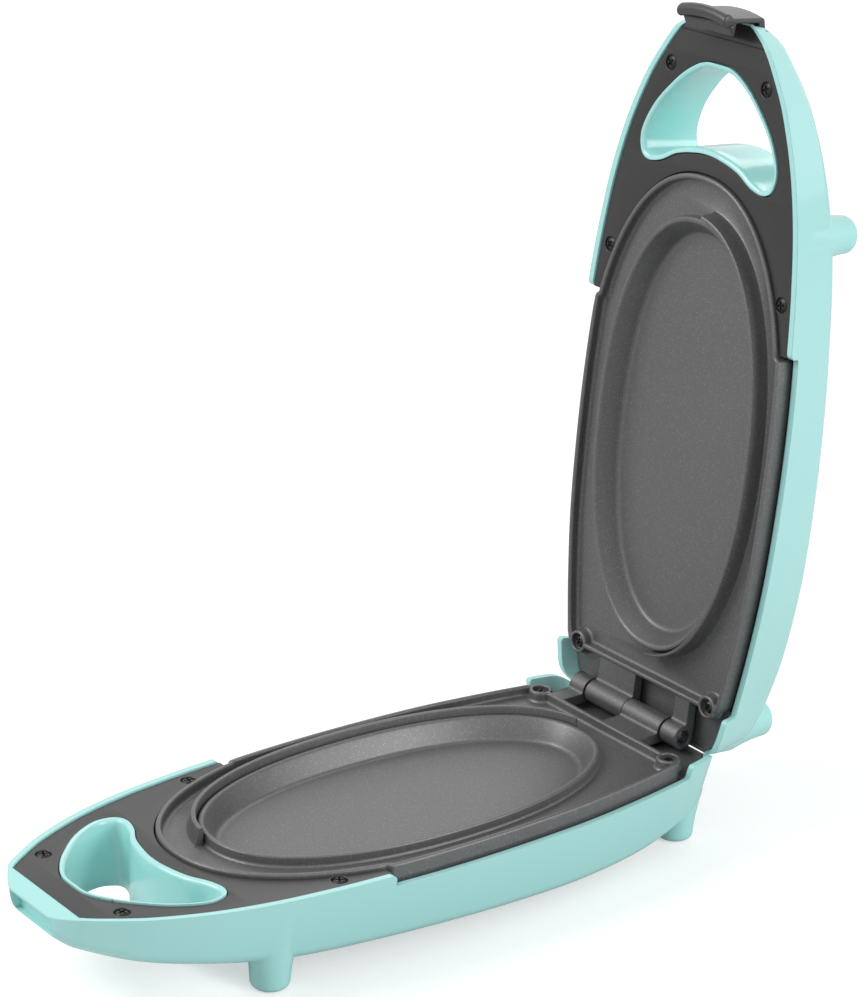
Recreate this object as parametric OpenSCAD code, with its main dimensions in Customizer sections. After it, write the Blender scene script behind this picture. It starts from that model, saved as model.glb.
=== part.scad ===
// Electric omelette maker: two matching boat-shaped halves joined by a cast hinge.
// Each half is drawn lying open side up, with the hinge axis on X at Y = 0, the nose
// towards -Y and the parting plane at Z = 0. The lid is the same half turned over
// about its length and swung up on the hinge pin. In the half, u is the distance from
// the hinge axis towards the nose and w the depth below the parting plane.

/* [Body] */
// Distance from the hinge axis to the straight front edge of the nose panel
reach = 305; // [290:1:320]
// Distance from that edge to the tip of the nose
nose_tip = 7.6; // [7.2:0.1:8.4]
// Distance from the hinge axis back to the rear wall
overhang = 6.8; // [6.2:0.1:7]
// Greatest half width of the shell at its rim
half_w = 67.8; // [66.5:0.1:72]
// Greatest depth of a shell below the parting plane
depth = 42.3; // [41:0.1:44.5]
// Thickness of the plastic shells
wall = 2.9; // [2.5:0.1:3.2]
// Radius where the shell's side turns into its underside
corner_r = 9; // [6:0.5:12]
// Side draft of the shells, as sideways travel per unit of depth
draft = 0.3; // [0.24:0.01:0.34]
// Height of the parting plane over the table
stand_h = 46.7; // [46:0.1:56]
// Angle of the lid at its open stop, from closed
open_angle = 94.8; // [90:0.1:96]
// Gap left between the rear cheeks at the open stop
stop_gap = 0.3; // [0.3:0.05:0.6]

/* [Rims] */
// Depth of the shell rim beside the nose panel, below the parting plane
nose_rim = 1.4; // [1:0.1:1.8]
// Depth of the lowered shell rim beside the cooking plate
side_rim = 7.3; // [6.5:0.1:8]
// Depth of the rim of the rear cheeks
cheek_rim = 0.35; // [0.3:0.05:0.8]
// Distance from the hinge axis to the front of the rear cheeks
cheek_front = 16.2; // [15.6:0.1:16.4]
// Radius of the cheeks' rounded rear edge
cheek_r = 12; // [10:0.5:13]
// Distance from the hinge axis to the shoulder where the nose panel ends
shoulder = 181; // [178:0.5:184]
// Radius of the notch in the rim at the shoulder
notch_r = 3; // [2:0.1:4]
// Half width of the open gap between the rear cheeks, where the hinge sits
rear_gap = 42.5; // [41.5:0.1:43.5]
// Depth of the deck under the hinge
deck_w = 9.2; // [9:0.1:10]
// Distance from the hinge axis to the front edge of that deck
deck_front = 24; // [22:0.5:26]

/* [Feet] */
// Radius of a foot at its tip
foot_tip_r = 8.3; // [7.5:0.1:8.6]
// Radius of a foot where it meets the shell
foot_root_r = 9.4; // [9:0.1:10]
// Radius of the rounding at the tip of a foot
foot_round = 3; // [1.5:0.1:4]
// Distance from the hinge axis to the front feet
foot_front = 227.5; // [222:0.5:230]
// Half spacing of the front feet
foot_front_x = 43.7; // [42:0.1:45]
// Distance from the hinge axis to the rear feet
foot_rear = 2.8; // [2.6:0.1:6]
// Half spacing of the rear feet
foot_rear_x = 33.7; // [31:0.1:34]

/* [Nose panel] */
// Depth of the nose panel's face below the parting plane
panel_top = 2; // [1.9:0.1:2.6]
// Thickness of the nose panel
panel_t = 2.4; // [2:0.1:2.6]
// Visible gap round the nose panel
panel_gap = 0.35; // [0.3:0.05:0.45]
// Gap between the nose panel and the cooking plate
plate_gap = 0.5; // [0.4:0.1:0.8]
// Width of the grip bar between the panel's front edge and the handle hole
grip_bar = 12; // [11.5:0.5:13]
// Half width of the handle hole's collar
hole_half = 42.4; // [40:0.1:42.4]
// Length of the handle hole's collar along the body
hole_len = 48.3; // [45:0.1:48.5]
// Thickness of the shell's collar round the handle hole
collar_t = 2.3; // [1.8:0.1:2.6]
// Diameter of the screw recesses in the panel
recess_d = 6.7; // [6.4:0.1:7.2]
// Depth of the screw recesses in the panel
recess_h = 1.2; // [0.8:0.1:1.4]
// Distance from the panel's front edge to its front screws
screw_front = 16.8; // [16:0.1:18]
// Inset of the panel's front screws from the rim
screw_front_in = 10.4; // [9.7:0.1:11.2]
// Width of the panel's legs where the rear screws sit
leg_w = 9.55; // [9.2:0.05:10.4]
// Distance from the plate's round nose to the panel's rear screws
screw_rear_in = 4; // [3.9:0.05:4.2]
// Least distance from the shoulder to the panel's rear screws
screw_end = 6; // [5:0.1:7]

/* [Cooking plate] */
// Depth of the plate's lip below the parting plane
lip_top = 0.3; // [0.3:0.05:0.6]
// Width of the plate's lip
lip_w = 2.4; // [1.8:0.1:2.8]
// Depth of the plate's floor below the parting plane
floor_top = 5; // [4.6:0.1:5.4]
// Depth of the underside of the plate's skirt below the parting plane
skirt_w = 8.6; // [8.4:0.1:9]
// Thickness of the cast plate
cast_t = 2.6; // [2.3:0.1:3]
// Space between the plate's sides and the outside of the shell rim
plate_inset = 6.3; // [6:0.1:7]
// Distance from the hinge axis to the plate's straight rear edge
plate_rear = 16.7; // [16.7:0.1:18]
// Distance from the hinge axis to the middle of the cavity
cavity_u = 129; // [127:0.5:130]
// Half length of the cavity at its bottom
cavity_a = 91; // [87:0.5:92]
// Half width of the cavity at its bottom
cavity_b = 41; // [38:0.5:42]
// Spread of the cavity's wall from bottom to top
cavity_spread = 4.6; // [3.6:0.1:5]
// Depth of the cavity's bottom below the parting plane
cavity_w = 10; // [9.2:0.1:10.6]
// Width of the low rim round the cavity
rim_w = 2.2; // [1.8:0.1:2.4]
// Clearance between the low rim of one plate and the high ridge of the other
ridge_gap = 0.9; // [0.7:0.1:1.1]
// Width of the high ridge at its top
ridge_w = 2.1; // [1.6:0.1:2.4]
// Height of the high ridge above the parting plane
ridge_h = 3; // [2:0.1:3.4]
// Gap between the plate's round nose and the handle hole's collar
nose_gap = 9.06; // [7.5:0.02:10.5]
// Inset of the plate's round nose from the half width of the rim
nose_in = 5.3; // [5.1:0.1:6.3]

/* [Screws] */
// Distance from the hinge axis to the plate's rear corner screws
corner_u = 18.4; // [18.1:0.1:19]
// Inset of the plate's rear corner screws from the rim
corner_in = 13.8; // [13:0.1:14.2]
// Diameter of the plate's corner bosses
corner_d = 10.7; // [10:0.1:11.2]
// Diameter of the screw recess in a corner boss
corner_recess_d = 7.5; // [7:0.1:8]
// Distance from the hinge axis to the plate's hidden front screws
ear_u = 226; // [224:0.5:228]
// Distance from the plate's round nose out to its hidden front screws
ear_out = 5.8; // [5.3:0.1:6.8]
// Diameter of the screw threads
thread_d = 3; // [2.6:0.1:3.2]
// Length of the screw threads
thread_l = 9; // [7:0.5:10]
// Diameter of the screw heads
head_d = 5.8; // [5.2:0.1:6]
// Height of the screw heads
head_h = 1.4; // [1.2:0.1:1.7]
// Clearance round a screw, per side
screw_play = 0.15; // [0.1:0.05:0.2]
// Diameter of the posts that the screws bite into
post_d = 6.4; // [6:0.1:6.6]

/* [Hinge] */
// Diameter of the hinge knuckles
knuckle_d = 10.8; // [10:0.1:11]
// Diameter of the hinge pin
pin_d = 4; // [3:0.1:4.6]
// Running clearance on the pins, per side
pin_play = 0.05; // [0.02:0.01:0.08]
// Length of each long knuckle
long_l = 24.8; // [22:0.1:25]
// Length of each short knuckle
short_l = 9.4; // [7.5:0.1:10]
// Gap between a long and a short knuckle
knuckle_gap = 1.5; // [0.5:0.1:2]
// Gap between the two long knuckles
middle_gap = 0.4; // [0.4:0.1:0.8]
// Sideways shift of the hinge from the middle of the body
hinge_shift = 3; // [0:0.1:3.5]
// Diameter of the heads of the hinge pin
pin_head_d = 5.6; // [5.2:0.1:6]
// Thickness of the heads of the hinge pin
pin_head_h = 1.2; // [1:0.1:1.4]
// Diameter of the recess for a pin head
pin_recess_d = 7; // [6.6:0.1:7.6]
// Depth of the recess for a pin head
pin_recess_h = 1.6; // [1.5:0.1:2]
// Depth of the top of the webs that carry the knuckles
web_top = 1; // [0.8:0.1:2]
// Depth of the underside of those webs
web_bottom = 5.2; // [4.8:0.1:5.3]

/* [Latch] */
// Width of the latch clip
latch_w = 30; // [26:0.5:30.6]
// Thickness of the latch clip's arm
arm_t = 2; // [1.6:0.1:2.4]
// Bulge of the clip across its width
clip_bulge = 1.9; // [1:0.1:2.4]
// Thickness of the ledge that the latch hooks under
ledge_t = 3.1; // [2.8:0.1:3.4]
// Drop of the rim from the nose panel to the tip of the nose
nose_drop = 2.1; // [1.6:0.1:2.3]
// Height of the pocket in the nose
pocket_h = 9; // [8:0.1:9.4]
// Distance from the panel's front edge to the back of that pocket
pocket_back = 2.2; // [2:0.1:2.3]
// Clearance between the clip and the nose
clip_gap = 0.3; // [0.3:0.05:0.5]
// Play of the closed hook under the ledge
hook_play = 0.7; // [0.6:0.1:1]
// Radius of the clip's finger bead
bead_r = 2.5; // [2:0.1:2.8]
// Distance from the hook's catching face to the middle of the bead
bead_up = 4.5; // [4:0.1:5]
// Diameter of the latch pin
latch_pin_d = 3; // [2.4:0.1:3.2]
// Length of the latch pin
latch_pin_l = 36; // [33:0.5:37]
// Diameter of the clip's barrel
barrel_d = 6; // [5.4:0.1:6.2]
// Depth of the latch pin below the lid's parting plane
latch_pin_w = 9.2; // [9:0.1:9.4]
// Distance from the panel's front edge to the latch pin
latch_pin_u = 4; // [3.9:0.1:4.2]

/* [Heating] */
// Diameter of the tubular heating elements
tube_d = 6.5; // [6:0.1:7]
// Half spacing of an element's two legs
leg_x = 25; // [23:0.5:26]
// Distance from the hinge axis to the middle of an element's bend
bend_u = 178; // [172:0.5:179]
// Distance from the hinge axis to the rear end of an element's sheath
leg_end = 60; // [58:0.5:62]
// Length of an element's bare pins
bare_l = 7; // [5:0.5:8]
// Diameter of an element's bare pins
bare_d = 2.4; // [2:0.1:3]
// Gap between round inner pieces and the plate that they lie against
seat_gap = 0.15; // [0.1:0.05:0.25]
// Distance from the hinge axis to the rear clamp bar
bar_rear = 70; // [68:0.5:71]
// Distance from the hinge axis to the front clamp bar
bar_front = 150; // [142:1:160]
// Half length of a clamp bar
bar_half = 32; // [30:0.5:34]
// Width of a clamp bar
bar_w = 11; // [9:0.5:12]
// Thickness of a clamp bar
bar_t = 1.5; // [1.2:0.1:1.8]
// Diameter of the cast bosses under the plate
boss_d = 8; // [7:0.1:8.4]
// Depth of the heat shield below the parting plane
shield_w = 25.2; // [25:0.1:27]
// Thickness of the heat shield
shield_t = 0.8; // [0.6:0.1:1]
// Half length of the heat shield
shield_a = 92; // [89:0.5:93]
// Half width of the heat shield
shield_b = 44; // [41:0.5:45]
// Height of the heat shield's turned-up edge
shield_edge = 1; // [0.8:0.1:1.2]
// Inset of the shield's cast bosses from the ends of the cavity
shield_boss_in = 7; // [6.5:0.1:7.5]

/* [Controls] */
// Diameter of a thermostat's body
stat_d = 16; // [14:0.5:18]
// Height of a thermostat's body
stat_h = 7.6; // [6:0.1:8]
// Distance from the hinge axis to a thermostat
stat_u = 112; // [110:1:116]
// Half spacing of a thermostat's tabs
tab_x = 5; // [4.5:0.1:5.5]
// Length of a thermostat's tabs
tab_l = 6; // [5:0.5:7]
// Width of a thermostat's tabs
tab_w = 4.8; // [4:0.1:5]
// Thickness of a thermostat's tabs
tab_t = 0.8; // [0.6:0.1:1]
// Diameter of the thermal fuse's sleeve
fuse_d = 5; // [4:0.1:5.4]
// Length of the thermal fuse's sleeve
fuse_l = 14; // [12:0.5:15]
// Distance from the hinge axis to the middle of the thermal fuse
fuse_u = 80; // [79:0.5:81]
// Sideways place of the thermal fuse
fuse_x = 12; // [11:0.5:13]
// Distance from the rear end of the cavity's bottom back to the middle of the terminal block
block_back = 8; // [7.5:0.1:9]
// Half width of the terminal block
block_half = 14; // [13:0.5:16]
// Length of the terminal block along the body
block_l = 12; // [11:0.5:13]
// Height of the terminal block
block_h = 10; // [8:0.5:11]
// Depth of the terminal block's top
block_top = 20.4; // [19:0.1:21]
// Spacing of the terminal block's three screws
block_pitch = 8; // [7:0.1:8.5]
// Depth of the cord inlet below the parting plane
inlet_w = 17; // [16.8:0.1:17.4]
// Width of the inlet's square hole in the rear wall
inlet_d = 8.7; // [8:0.1:9]
// Bore of the inlet bush
cord_d = 6; // [5:0.1:6.6]
// Diameter of the inlet bush's flange
flange_d = 12; // [11:0.1:12.4]
// Thickness of the inlet bush's flange
flange_t = 1.8; // [1.2:0.1:2]
// Diameter of the leads
lead_d = 1.8; // [1.4:0.1:2]
// Distance from the hinge axis to the indicator lamps
lamp_u = 238; // [237:0.5:239]
// Half spacing of the two indicator lamps
lamp_x = 9; // [8:0.5:10]
// Diameter of the indicator lenses
lens_d = 6; // [5:0.1:7]
// Stand of the indicator lenses proud of the lid
lens_h = 0.8; // [0.5:0.1:1.2]
// Diameter of the lamps
lamp_d = 4; // [3:0.1:4.6]
// Half width of the lamp board
board_half = 17; // [16:0.5:20]
// Length of the lamp board along the body
board_l = 11; // [10:0.5:12]
// Thickness of the lamp board
board_t = 1.6; // [1.2:0.1:2]

/* [Hidden] */

mint = [0.63, 0.85, 0.82];
charcoal = [0.3, 0.3, 0.31];
cast_grey = [0.22, 0.22, 0.23];
black = [0.08, 0.08, 0.09];
steel = [0.72, 0.73, 0.75];
galvanised = [0.62, 0.64, 0.66];
ceramic = [0.9, 0.88, 0.83];
brass = [0.8, 0.66, 0.35];
board_green = [0.16, 0.42, 0.26];
lamp_glass = [0.95, 0.55, 0.3];
lens_red = [0.85, 0.18, 0.12];
lead_white = [0.86, 0.84, 0.78];

// Places along the body: -1 is the rear wall, 0 the hinge axis, 1 the panel's front edge
// and 2 the tip of the nose.
function place(s) = s < 0 ? s * overhang : s <= 1 ? s * reach : reach + (s - 1) * nose_tip;

// Rim outline: [place, share of the half width]
rim_shape = [[-1, 0.53], [-0.7, 0.64], [-0.35, 0.715], [0, 0.767], [0.02, 0.811], [0.079, 0.864],
    [0.151, 0.917], [0.243, 0.968], [0.328, 0.991], [0.43, 1], [0.525, 0.99], [0.623, 0.959],
    [0.685, 0.932], [0.769, 0.875], [0.8475, 0.785], [0.921, 0.652], [0.963, 0.541], [1, 0.42],
    [1.4, 0.355], [1.8, 0.28], [2, 0.223]];
// Underside: [place, share of the depth]
keel_shape = [[-1, 0.58], [-0.3, 0.675], [0.0165, 0.77], [0.062, 0.898], [0.115, 0.976],
    [0.203, 1], [0.328, 0.974], [0.492, 0.913], [0.656, 0.856], [0.738, 0.811], [0.82, 0.723],
    [0.902, 0.62], [0.951, 0.53], [1, 0.4], [1.5, 0.345], [2, 0.26]];
// Handle hole's collar, rear to front: [share of its length from the front, share of its half width]
hole_shape = [[0.8, 0], [0.815, 0.19], [0.87, 0.45], [0.965, 0.66], [1, 0.85], [0.935, 0.975],
    [0.745, 1], [0.476, 0.849], [0.228, 0.59], [0.09, 0.389], [0.012, 0.2], [0, 0]];
// Places of the cross sections that a shell is drawn through
stations = [-1, -0.7, -0.35, 0, 0.02, 0.05, 0.1, 0.17, 0.25, 0.34, 0.43, 0.52, 0.6, 0.67, 0.73, 0.79,
    0.84, 0.89, 0.93, 0.963, 0.985, 1, 1.4, 1.75, 2];

rim_tab = [for (p = rim_shape) [place(p[0]), p[1] * half_w]];
keel_tab = [for (p = keel_shape) [place(p[0]), p[1] * depth]];
rim_level = 2;
bend_steps = 5;
arc_steps = 6;
ring_n = 48;
sharpness = 2.2;
nose_wall = 2;
tip_u = reach + nose_tip;
over = 1;
// Gap between pieces that don't touch
piece_gap = 0.3;
// Depth at which the feet start inside a shell, and the length of their straight root
foot_start = 14;
foot_root = 10;

panel_under = panel_top + panel_t;
corner_post_d = post_d + 1.6;
ear_post_d = post_d + 1;
board_rib = 3;
// Thickness of a cross-head slot and of a terminal screw's slot
cross_slot = 0.9;
terminal_slot = 0.8;
shoulder_u = shoulder - 0.6;
shoulder_r = 3;
under_w = cavity_w + cast_t;
tube_w = under_w + seat_gap + tube_d / 2;
bar_top = under_w + tube_d + 2 * seat_gap;
bar_under = bar_top + bar_t;
rim_in = cavity_spread;
rim_out = cavity_spread + rim_w;
ridge_in = rim_out + ridge_gap;
ridge_foot = 1.1;
ear_d = 9;
ear_neck = 8;
ear_reach = 12;
ear_top = panel_under + head_h + piece_gap;
shield_boss_d = 7;
lead_level = (bar_under + shield_w - shield_edge) / 2;
stat_cap = 3;
// Straight ends of the leads
lead_stub = 1.5;
// Cut corners of the inlet's square hole, and the lip that holds its bush inside the wall
neck_cut = 1.5;
neck_lip = 1.5;
tab_level = under_w + stat_h - stat_cap - tab_t / 2 - 0.8;
fuse_level = under_w + seat_gap + fuse_d / 2;
bare_end = leg_end - bare_l;
deck_t = 2.3;

knuckle_r = knuckle_d / 2;
long_from = middle_gap / 2;
short_from = long_from + long_l + knuckle_gap;
hinge_end = short_from + short_l;

ledge_under = nose_rim + ledge_t;
pocket_half = latch_w / 2 + 0.5;
pocket_u = reach + pocket_back;
pivot_u = reach + latch_pin_u;
arm_in = tip_u + clip_gap;
hook_w = ledge_under + hook_play;

board_under = lead_level + board_t / 2;
lens_seat = keel_w(lamp_u) - wall - 1;
lens_flange_t = 0.8;
terminal_d = 4.4;
terminal_h = 3.4;
terminal_sink = 0.6;
bar_bite = 4.5;

foot_low = stand_h - foot_round;
foot_reach = foot_front + foot_tip_r - foot_round;
rear_extent = -cos(open_angle) * foot_reach + sin(open_angle) * foot_low + foot_round;
origin_y = (tip_u - rear_extent) / 2;

function span(tab, x, i = 0) = (i >= len(tab) - 2 || x < tab[i + 1][0]) ? i : span(tab, x, i + 1);
function rise(tab, i) =
    let (a = max(i - 1, 0), b = min(i + 1, len(tab) - 1))
    (tab[b][1] - tab[a][1]) / (tab[b][0] - tab[a][0]);
// Smooth curve through a table of [x, y]
function smooth(tab, x) =
    let (i = span(tab, x), h = tab[i + 1][0] - tab[i][0], t = (x - tab[i][0]) / h,
        p = tab[i][1], q = tab[i + 1][1], m = rise(tab, i) * h, n = rise(tab, i + 1) * h)
    (2 * t * t * t - 3 * t * t + 1) * p + (t * t * t - 2 * t * t + t) * m
        + (3 * t * t - 2 * t * t * t) * q + (t * t * t - t * t) * n;
function rim_x(u) = smooth(rim_tab, u);
function keel_w(u) = smooth(keel_tab, u);

// Closed smooth curve through points
function blend(a, b, c, d, t) =
    (2 * b + (c - a) * t + (2 * a - 5 * b + 4 * c - d) * t * t + (3 * b - 3 * c + d - a) * t * t * t) / 2;
function closed_curve(p, n) = let (m = len(p))
    [for (i = [0 : m - 1], k = [0 : n - 1])
        blend(p[(i + m - 1) % m], p[i], p[(i + 1) % m], p[(i + 2) % m], k / n)];
// Open path of straight runs with its corners rounded
function corner(a, b, c, r, n) =
    let (p = b + (a - b) * min(r / norm(a - b), 0.45), q = b + (c - b) * min(r / norm(c - b), 0.45))
    [for (k = [0 : n]) let (t = k / n) p * (1 - t) * (1 - t) + b * 2 * t * (1 - t) + q * t * t];
function route(p, r) = let (m = len(p))
    concat([p[0]], [for (i = [1 : m - 2]) each corner(p[i - 1], p[i], p[i + 1], r, 3)], [p[m - 1]]);

// Half outlines run from the rear to the nose as [x, u]; outlines are their two sides
function both_sides(half) = concat([for (p = half) [p[0], -p[1]]],
    [for (i = [len(half) - 1 : -1 : 0]) if (half[i][0] > 0.01) [-half[i][0], -half[i][1]]]);
function inset(path, t) = let (n = len(path))
    [for (i = [0 : n - 1]) let (d = path[(i + 1) % n] - path[(i + n - 1) % n], l = norm(d))
        path[i] + [d[1], -d[0]] * (t / l)];
function arc(x, u, r, from, to) =
    [for (k = [0 : arc_steps]) let (a = from + (to - from) * k / arc_steps) [x + r * cos(a), u + r * sin(a)]];
function ellipse(a, b, n = ring_n) =
    [for (k = [0 : n - 1]) let (t = 360 * k / n) [b * cos(t), -cavity_u - a * sin(t)]];

// Round nose of the cooking plate, grown by g
nose_a = reach - grip_bar - hole_len * hole_shape[0][0] - nose_gap - cavity_u;
nose_b = half_w - nose_in;
function nose_x(u, g = 0) = (nose_b + g) * pow(1 - pow((u - cavity_u) / (nose_a + g), sharpness), 1 / sharpness);
// First place from u on where the panel's legs are leg_w wide
function leg_place(u) = rim_x(u) - wall - nose_x(u, plate_gap) >= leg_w ? u : leg_place(u + 0.1);
screw_rear_u = max(leg_place(shoulder), shoulder + screw_end);
screw_rear_x = nose_x(screw_rear_u) + screw_rear_in;
screw_front_x = rim_x(reach - screw_front) - screw_front_in;
corner_x = rim_x(corner_u) - corner_in;
ear_x = nose_x(ear_u) + ear_out;
block_u = cavity_u - cavity_a - block_back;
function nose_arc(from, g) = let (start = asin(pow((from - cavity_u) / (nose_a + g), sharpness / 2)), n = 14)
    [for (k = [0 : n]) let (t = start + (90 - start) * k / n)
        [(nose_b + g) * pow(max(cos(t), 0), 2 / sharpness), cavity_u + (nose_a + g) * pow(sin(t), 2 / sharpness)]];

// Outline of the cooking plate inset by t
function plate_outline(t) =
    let (in = plate_inset + t, top = shoulder_u - t, x = rim_x(top) - in, r = max(shoulder_r - t, 1),
        from = plate_rear + 4, to = top - r - 4)
    both_sides(concat([[rim_x(from) - in - 4 + t, plate_rear + t], [rim_x(from) - in - 1.2, plate_rear + 1.2 + t]],
        [for (k = [0 : 7]) let (u = from + t + (to - from - t) * k / 7) [rim_x(u) - in, u]],
        arc(x - r, top - r, r, 0, 90), nose_arc(top, -t)));
function panel_outline(t) = let (n = 12)
    both_sides([for (k = [0 : n]) let (u = shoulder + t + (reach - shoulder - 2 * t) * sin(90 * k / n))
        [rim_x(u) - wall - t, u]]);
hole_outline = let (half = [for (p = hole_shape) [p[1] * hole_half, reach - grip_bar - hole_len * p[0]]])
    closed_curve(both_sides(half), 3);

module at(x, u, w) {
    translate([x, -u, -w]) children();
}

// Both of a pair at x and -x
module pair(x, u, w) {
    at(x, u, w) children();
    at(-x, u, w) children();
}

module base_place() {
    translate([0, origin_y, stand_h]) children();
}

module lid_place() {
    translate([0, origin_y, stand_h]) rotate([-open_angle, 0, 0]) rotate([0, 180, 0]) children();
}

// Flat piece between two depths
module slab(outline, top, bottom) {
    translate([0, 0, -bottom]) linear_extrude(bottom - top) polygon(outline);
}

module block(half, from, to, top, bottom) {
    translate([-half, -to, -bottom]) cube([2 * half, to - from, bottom - top]);
}

// Extrusion across the body of a side view given as [u, w]
module across(view, half) {
    rotate([90, 0, 90]) linear_extrude(2 * half, center = true) polygon([for (p = view) [-p[0], -p[1]]]);
}

// Round post between two depths
module post(d, top, bottom) {
    translate([0, 0, -bottom]) cylinder(d = d, h = bottom - top, $fn = 32);
}

// Solid through closed rings of equal length
module loft(rings) {
    n = len(rings[0]);
    m = len(rings);
    sides = [for (j = [0 : m - 2], i = [0 : n - 1]) let (a = j * n + i, b = j * n + (i + 1) % n)
        each [[a, b, b + n], [a, b + n, a + n]]];
    first = [for (i = [1 : n - 2]) [0, i + 1, i]];
    last = [for (i = [1 : n - 2]) [(m - 1) * n, (m - 1) * n + i, (m - 1) * n + i + 1]];
    polyhedron(points = [for (r = rings) each r], faces = concat(sides, first, last));
}

// Round wire along a path of [x, u, w]
module wire(path, d) {
    p = route([for (q = path) [q[0], -q[1], -q[2]]], 5);
    m = len(p);
    sides = 8;
    loft([for (i = [0 : m - 1]) let (v = p[min(i + 1, m - 1)] - p[max(i - 1, 0)],
            s = cross(v, [0, 0, 1]) / norm(cross(v, [0, 0, 1])), t = cross(s, v) / norm(v))
        [for (k = [0 : sides - 1]) p[i] + (s * cos(360 * k / sides) + t * sin(360 * k / sides)) * d / 2]]);
}

// Cross section of a shell inset by t, from the right rim round to the left one
function section(u, t, top) =
    let (b = rim_x(u) - t, d = keel_w(u) - t, r = max(min(corner_r, 0.45 * keel_w(u)) - t, 1),
        slant = sqrt(1 + draft * draft), start = atan(draft),
        x = b - draft * (d - r - rim_level) - r * slant,
        half = concat([[b - draft * (top - rim_level), top]],
            [for (i = [0 : bend_steps]) let (a = start + (90 - start) * i / bend_steps)
                [x + r * cos(a), d - r + r * sin(a)]]))
    concat([for (p = half) [p[0], -u, -p[1]]],
        [for (i = [len(half) - 1 : -1 : 0]) [-half[i][0], -u, -half[i][1]]]);

// Boat-shaped solid between two places, inset by t
module boat(from, to, t, top) {
    inner = [for (s = stations) let (u = place(s)) if (u > from + 0.5 && u < to - 0.5) u];
    loft([for (u = concat([from], inner, [to])) section(u, t, top)]);
}

// Foot with a rounded tip, its axis on the origin
module foot() {
    rotate_extrude($fn = 48) polygon(concat([[0, -foot_start], [0, -stand_h], [foot_tip_r - foot_round, -stand_h]],
        [for (k = [1 : arc_steps]) let (a = 90 * k / arc_steps)
            [foot_tip_r - foot_round + foot_round * sin(a), -stand_h + foot_round * (1 - cos(a))]],
        [[foot_root_r, -foot_start - foot_root], [foot_root_r, -foot_start]]));
}

// Side view of what is cut away above the rims
rim_view = let (a = open_angle / 2, drop = cheek_rim + cheek_r,
        c = (cheek_r + stop_gap / 2 - drop * cos(a)) / sin(a))
    concat([[tip_u + over, -over], [tip_u + over, nose_rim + nose_drop + over * nose_drop / nose_tip],
            [reach, nose_rim]],
        arc(shoulder + notch_r, nose_rim + notch_r, notch_r, 270, 180),
        [[shoulder, side_rim], [cheek_front, side_rim], [cheek_front, cheek_rim]],
        arc(c, drop, cheek_r, 270, 180),
        [[min(c - cheek_r, -overhang) - over, drop], [min(c - cheek_r, -overhang) - over, -over]]);

// Hollow corner block behind the plate, on one side
module cheek(side) {
    top = -cheek_rim - wall;
    under = -deck_w - deck_t;
    hollow_from = 1.5;
    difference() {
        translate([side > 0 ? rear_gap : -half_w - rear_gap, -cheek_front, under])
            cube([half_w, cheek_front + overhang + over, over - under]);
        translate([side > 0 ? rear_gap + wall : -half_w - rear_gap - over, wall - cheek_front, under - over])
            cube([half_w - wall + over, cheek_front - wall - hollow_from, top - under + over]);
    }
}

// What stays standing inside a shell
module shell_inside(lid) {
    block(rear_gap + wall, -overhang, deck_front, deck_w, deck_w + deck_t);
    cheek(1);
    cheek(-1);
    pair(corner_x, corner_u, 0) post(corner_post_d, skirt_w, stand_h);
    pair(ear_x, ear_u, 0) post(ear_post_d, ear_top + cast_t, stand_h);
    pair(screw_rear_x, screw_rear_u, 0) post(post_d, panel_under, stand_h);
    pair(screw_front_x, reach - screw_front, 0) post(post_d, panel_under, stand_h);
    slab(hole_outline, 0, stand_h);
    if (lid) {
        block(board_rib, lamp_u - board_l / 2 + 1, lamp_u + board_l / 2 - 1, board_under, stand_h);
        pair(lamp_x, lamp_u, 0) post(lens_d + 4, lens_seat, stand_h);
    } else {
        block(block_half, block_u - block_l / 2, block_u + block_l / 2, block_top + block_h, stand_h);
    }
}

// Blind hole for a screw's thread
module thread_hole() {
    post(thread_d + 2 * screw_play, -over, thread_l + over);
}

// Boat-shaped casing of one half
module shell(lid) {
    difference() {
        union() {
            boat(-overhang, tip_u, 0, -over);
            pair(foot_front_x, foot_front, 0) foot();
            pair(foot_rear_x, foot_rear, 0) foot();
        }
        difference() {
            boat(wall - overhang, reach - nose_wall, wall, -2 * over);
            shell_inside(lid);
        }
        across(rim_view, half_w + 4 * over);
        block(rear_gap, -overhang - over, deck_front, -over, deck_w);
        pair(corner_x, corner_u, 0) post(corner_d + 2 * plate_gap, -over, skirt_w);
        difference() {
            slab(panel_outline(0), -over, panel_under);
            slab(hole_outline, -2 * over, stand_h);
        }
        slab(inset(hole_outline, collar_t), -over, stand_h + over);
        block(pocket_half, pocket_u, tip_u + over, ledge_under, ledge_under + pocket_h);
        pair(corner_x, corner_u, skirt_w) thread_hole();
        pair(ear_x, ear_u, ear_top + cast_t) thread_hole();
        pair(screw_rear_x, screw_rear_u, panel_under) thread_hole();
        pair(screw_front_x, reach - screw_front, panel_under) thread_hole();
        if (lid) {
            at(0, pivot_u, latch_pin_w) rotate([0, 90, 0]) {
                cylinder(d = latch_pin_d + 2 * pin_play, h = latch_pin_l + 0.4, center = true, $fn = 32);
                cylinder(d = barrel_d + 2 * clip_gap, h = 2 * pocket_half, center = true, $fn = 40);
            }
            pair(lamp_x, lamp_u, 0) post(lens_d + 2 * screw_play, lens_seat - over, stand_h);
        } else {
            at(0, -overhang - over, inlet_w) rotate([90, 0, 0])
                linear_extrude(wall + 2 * over) polygon(neck(inlet_d));
        }
    }
}

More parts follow.
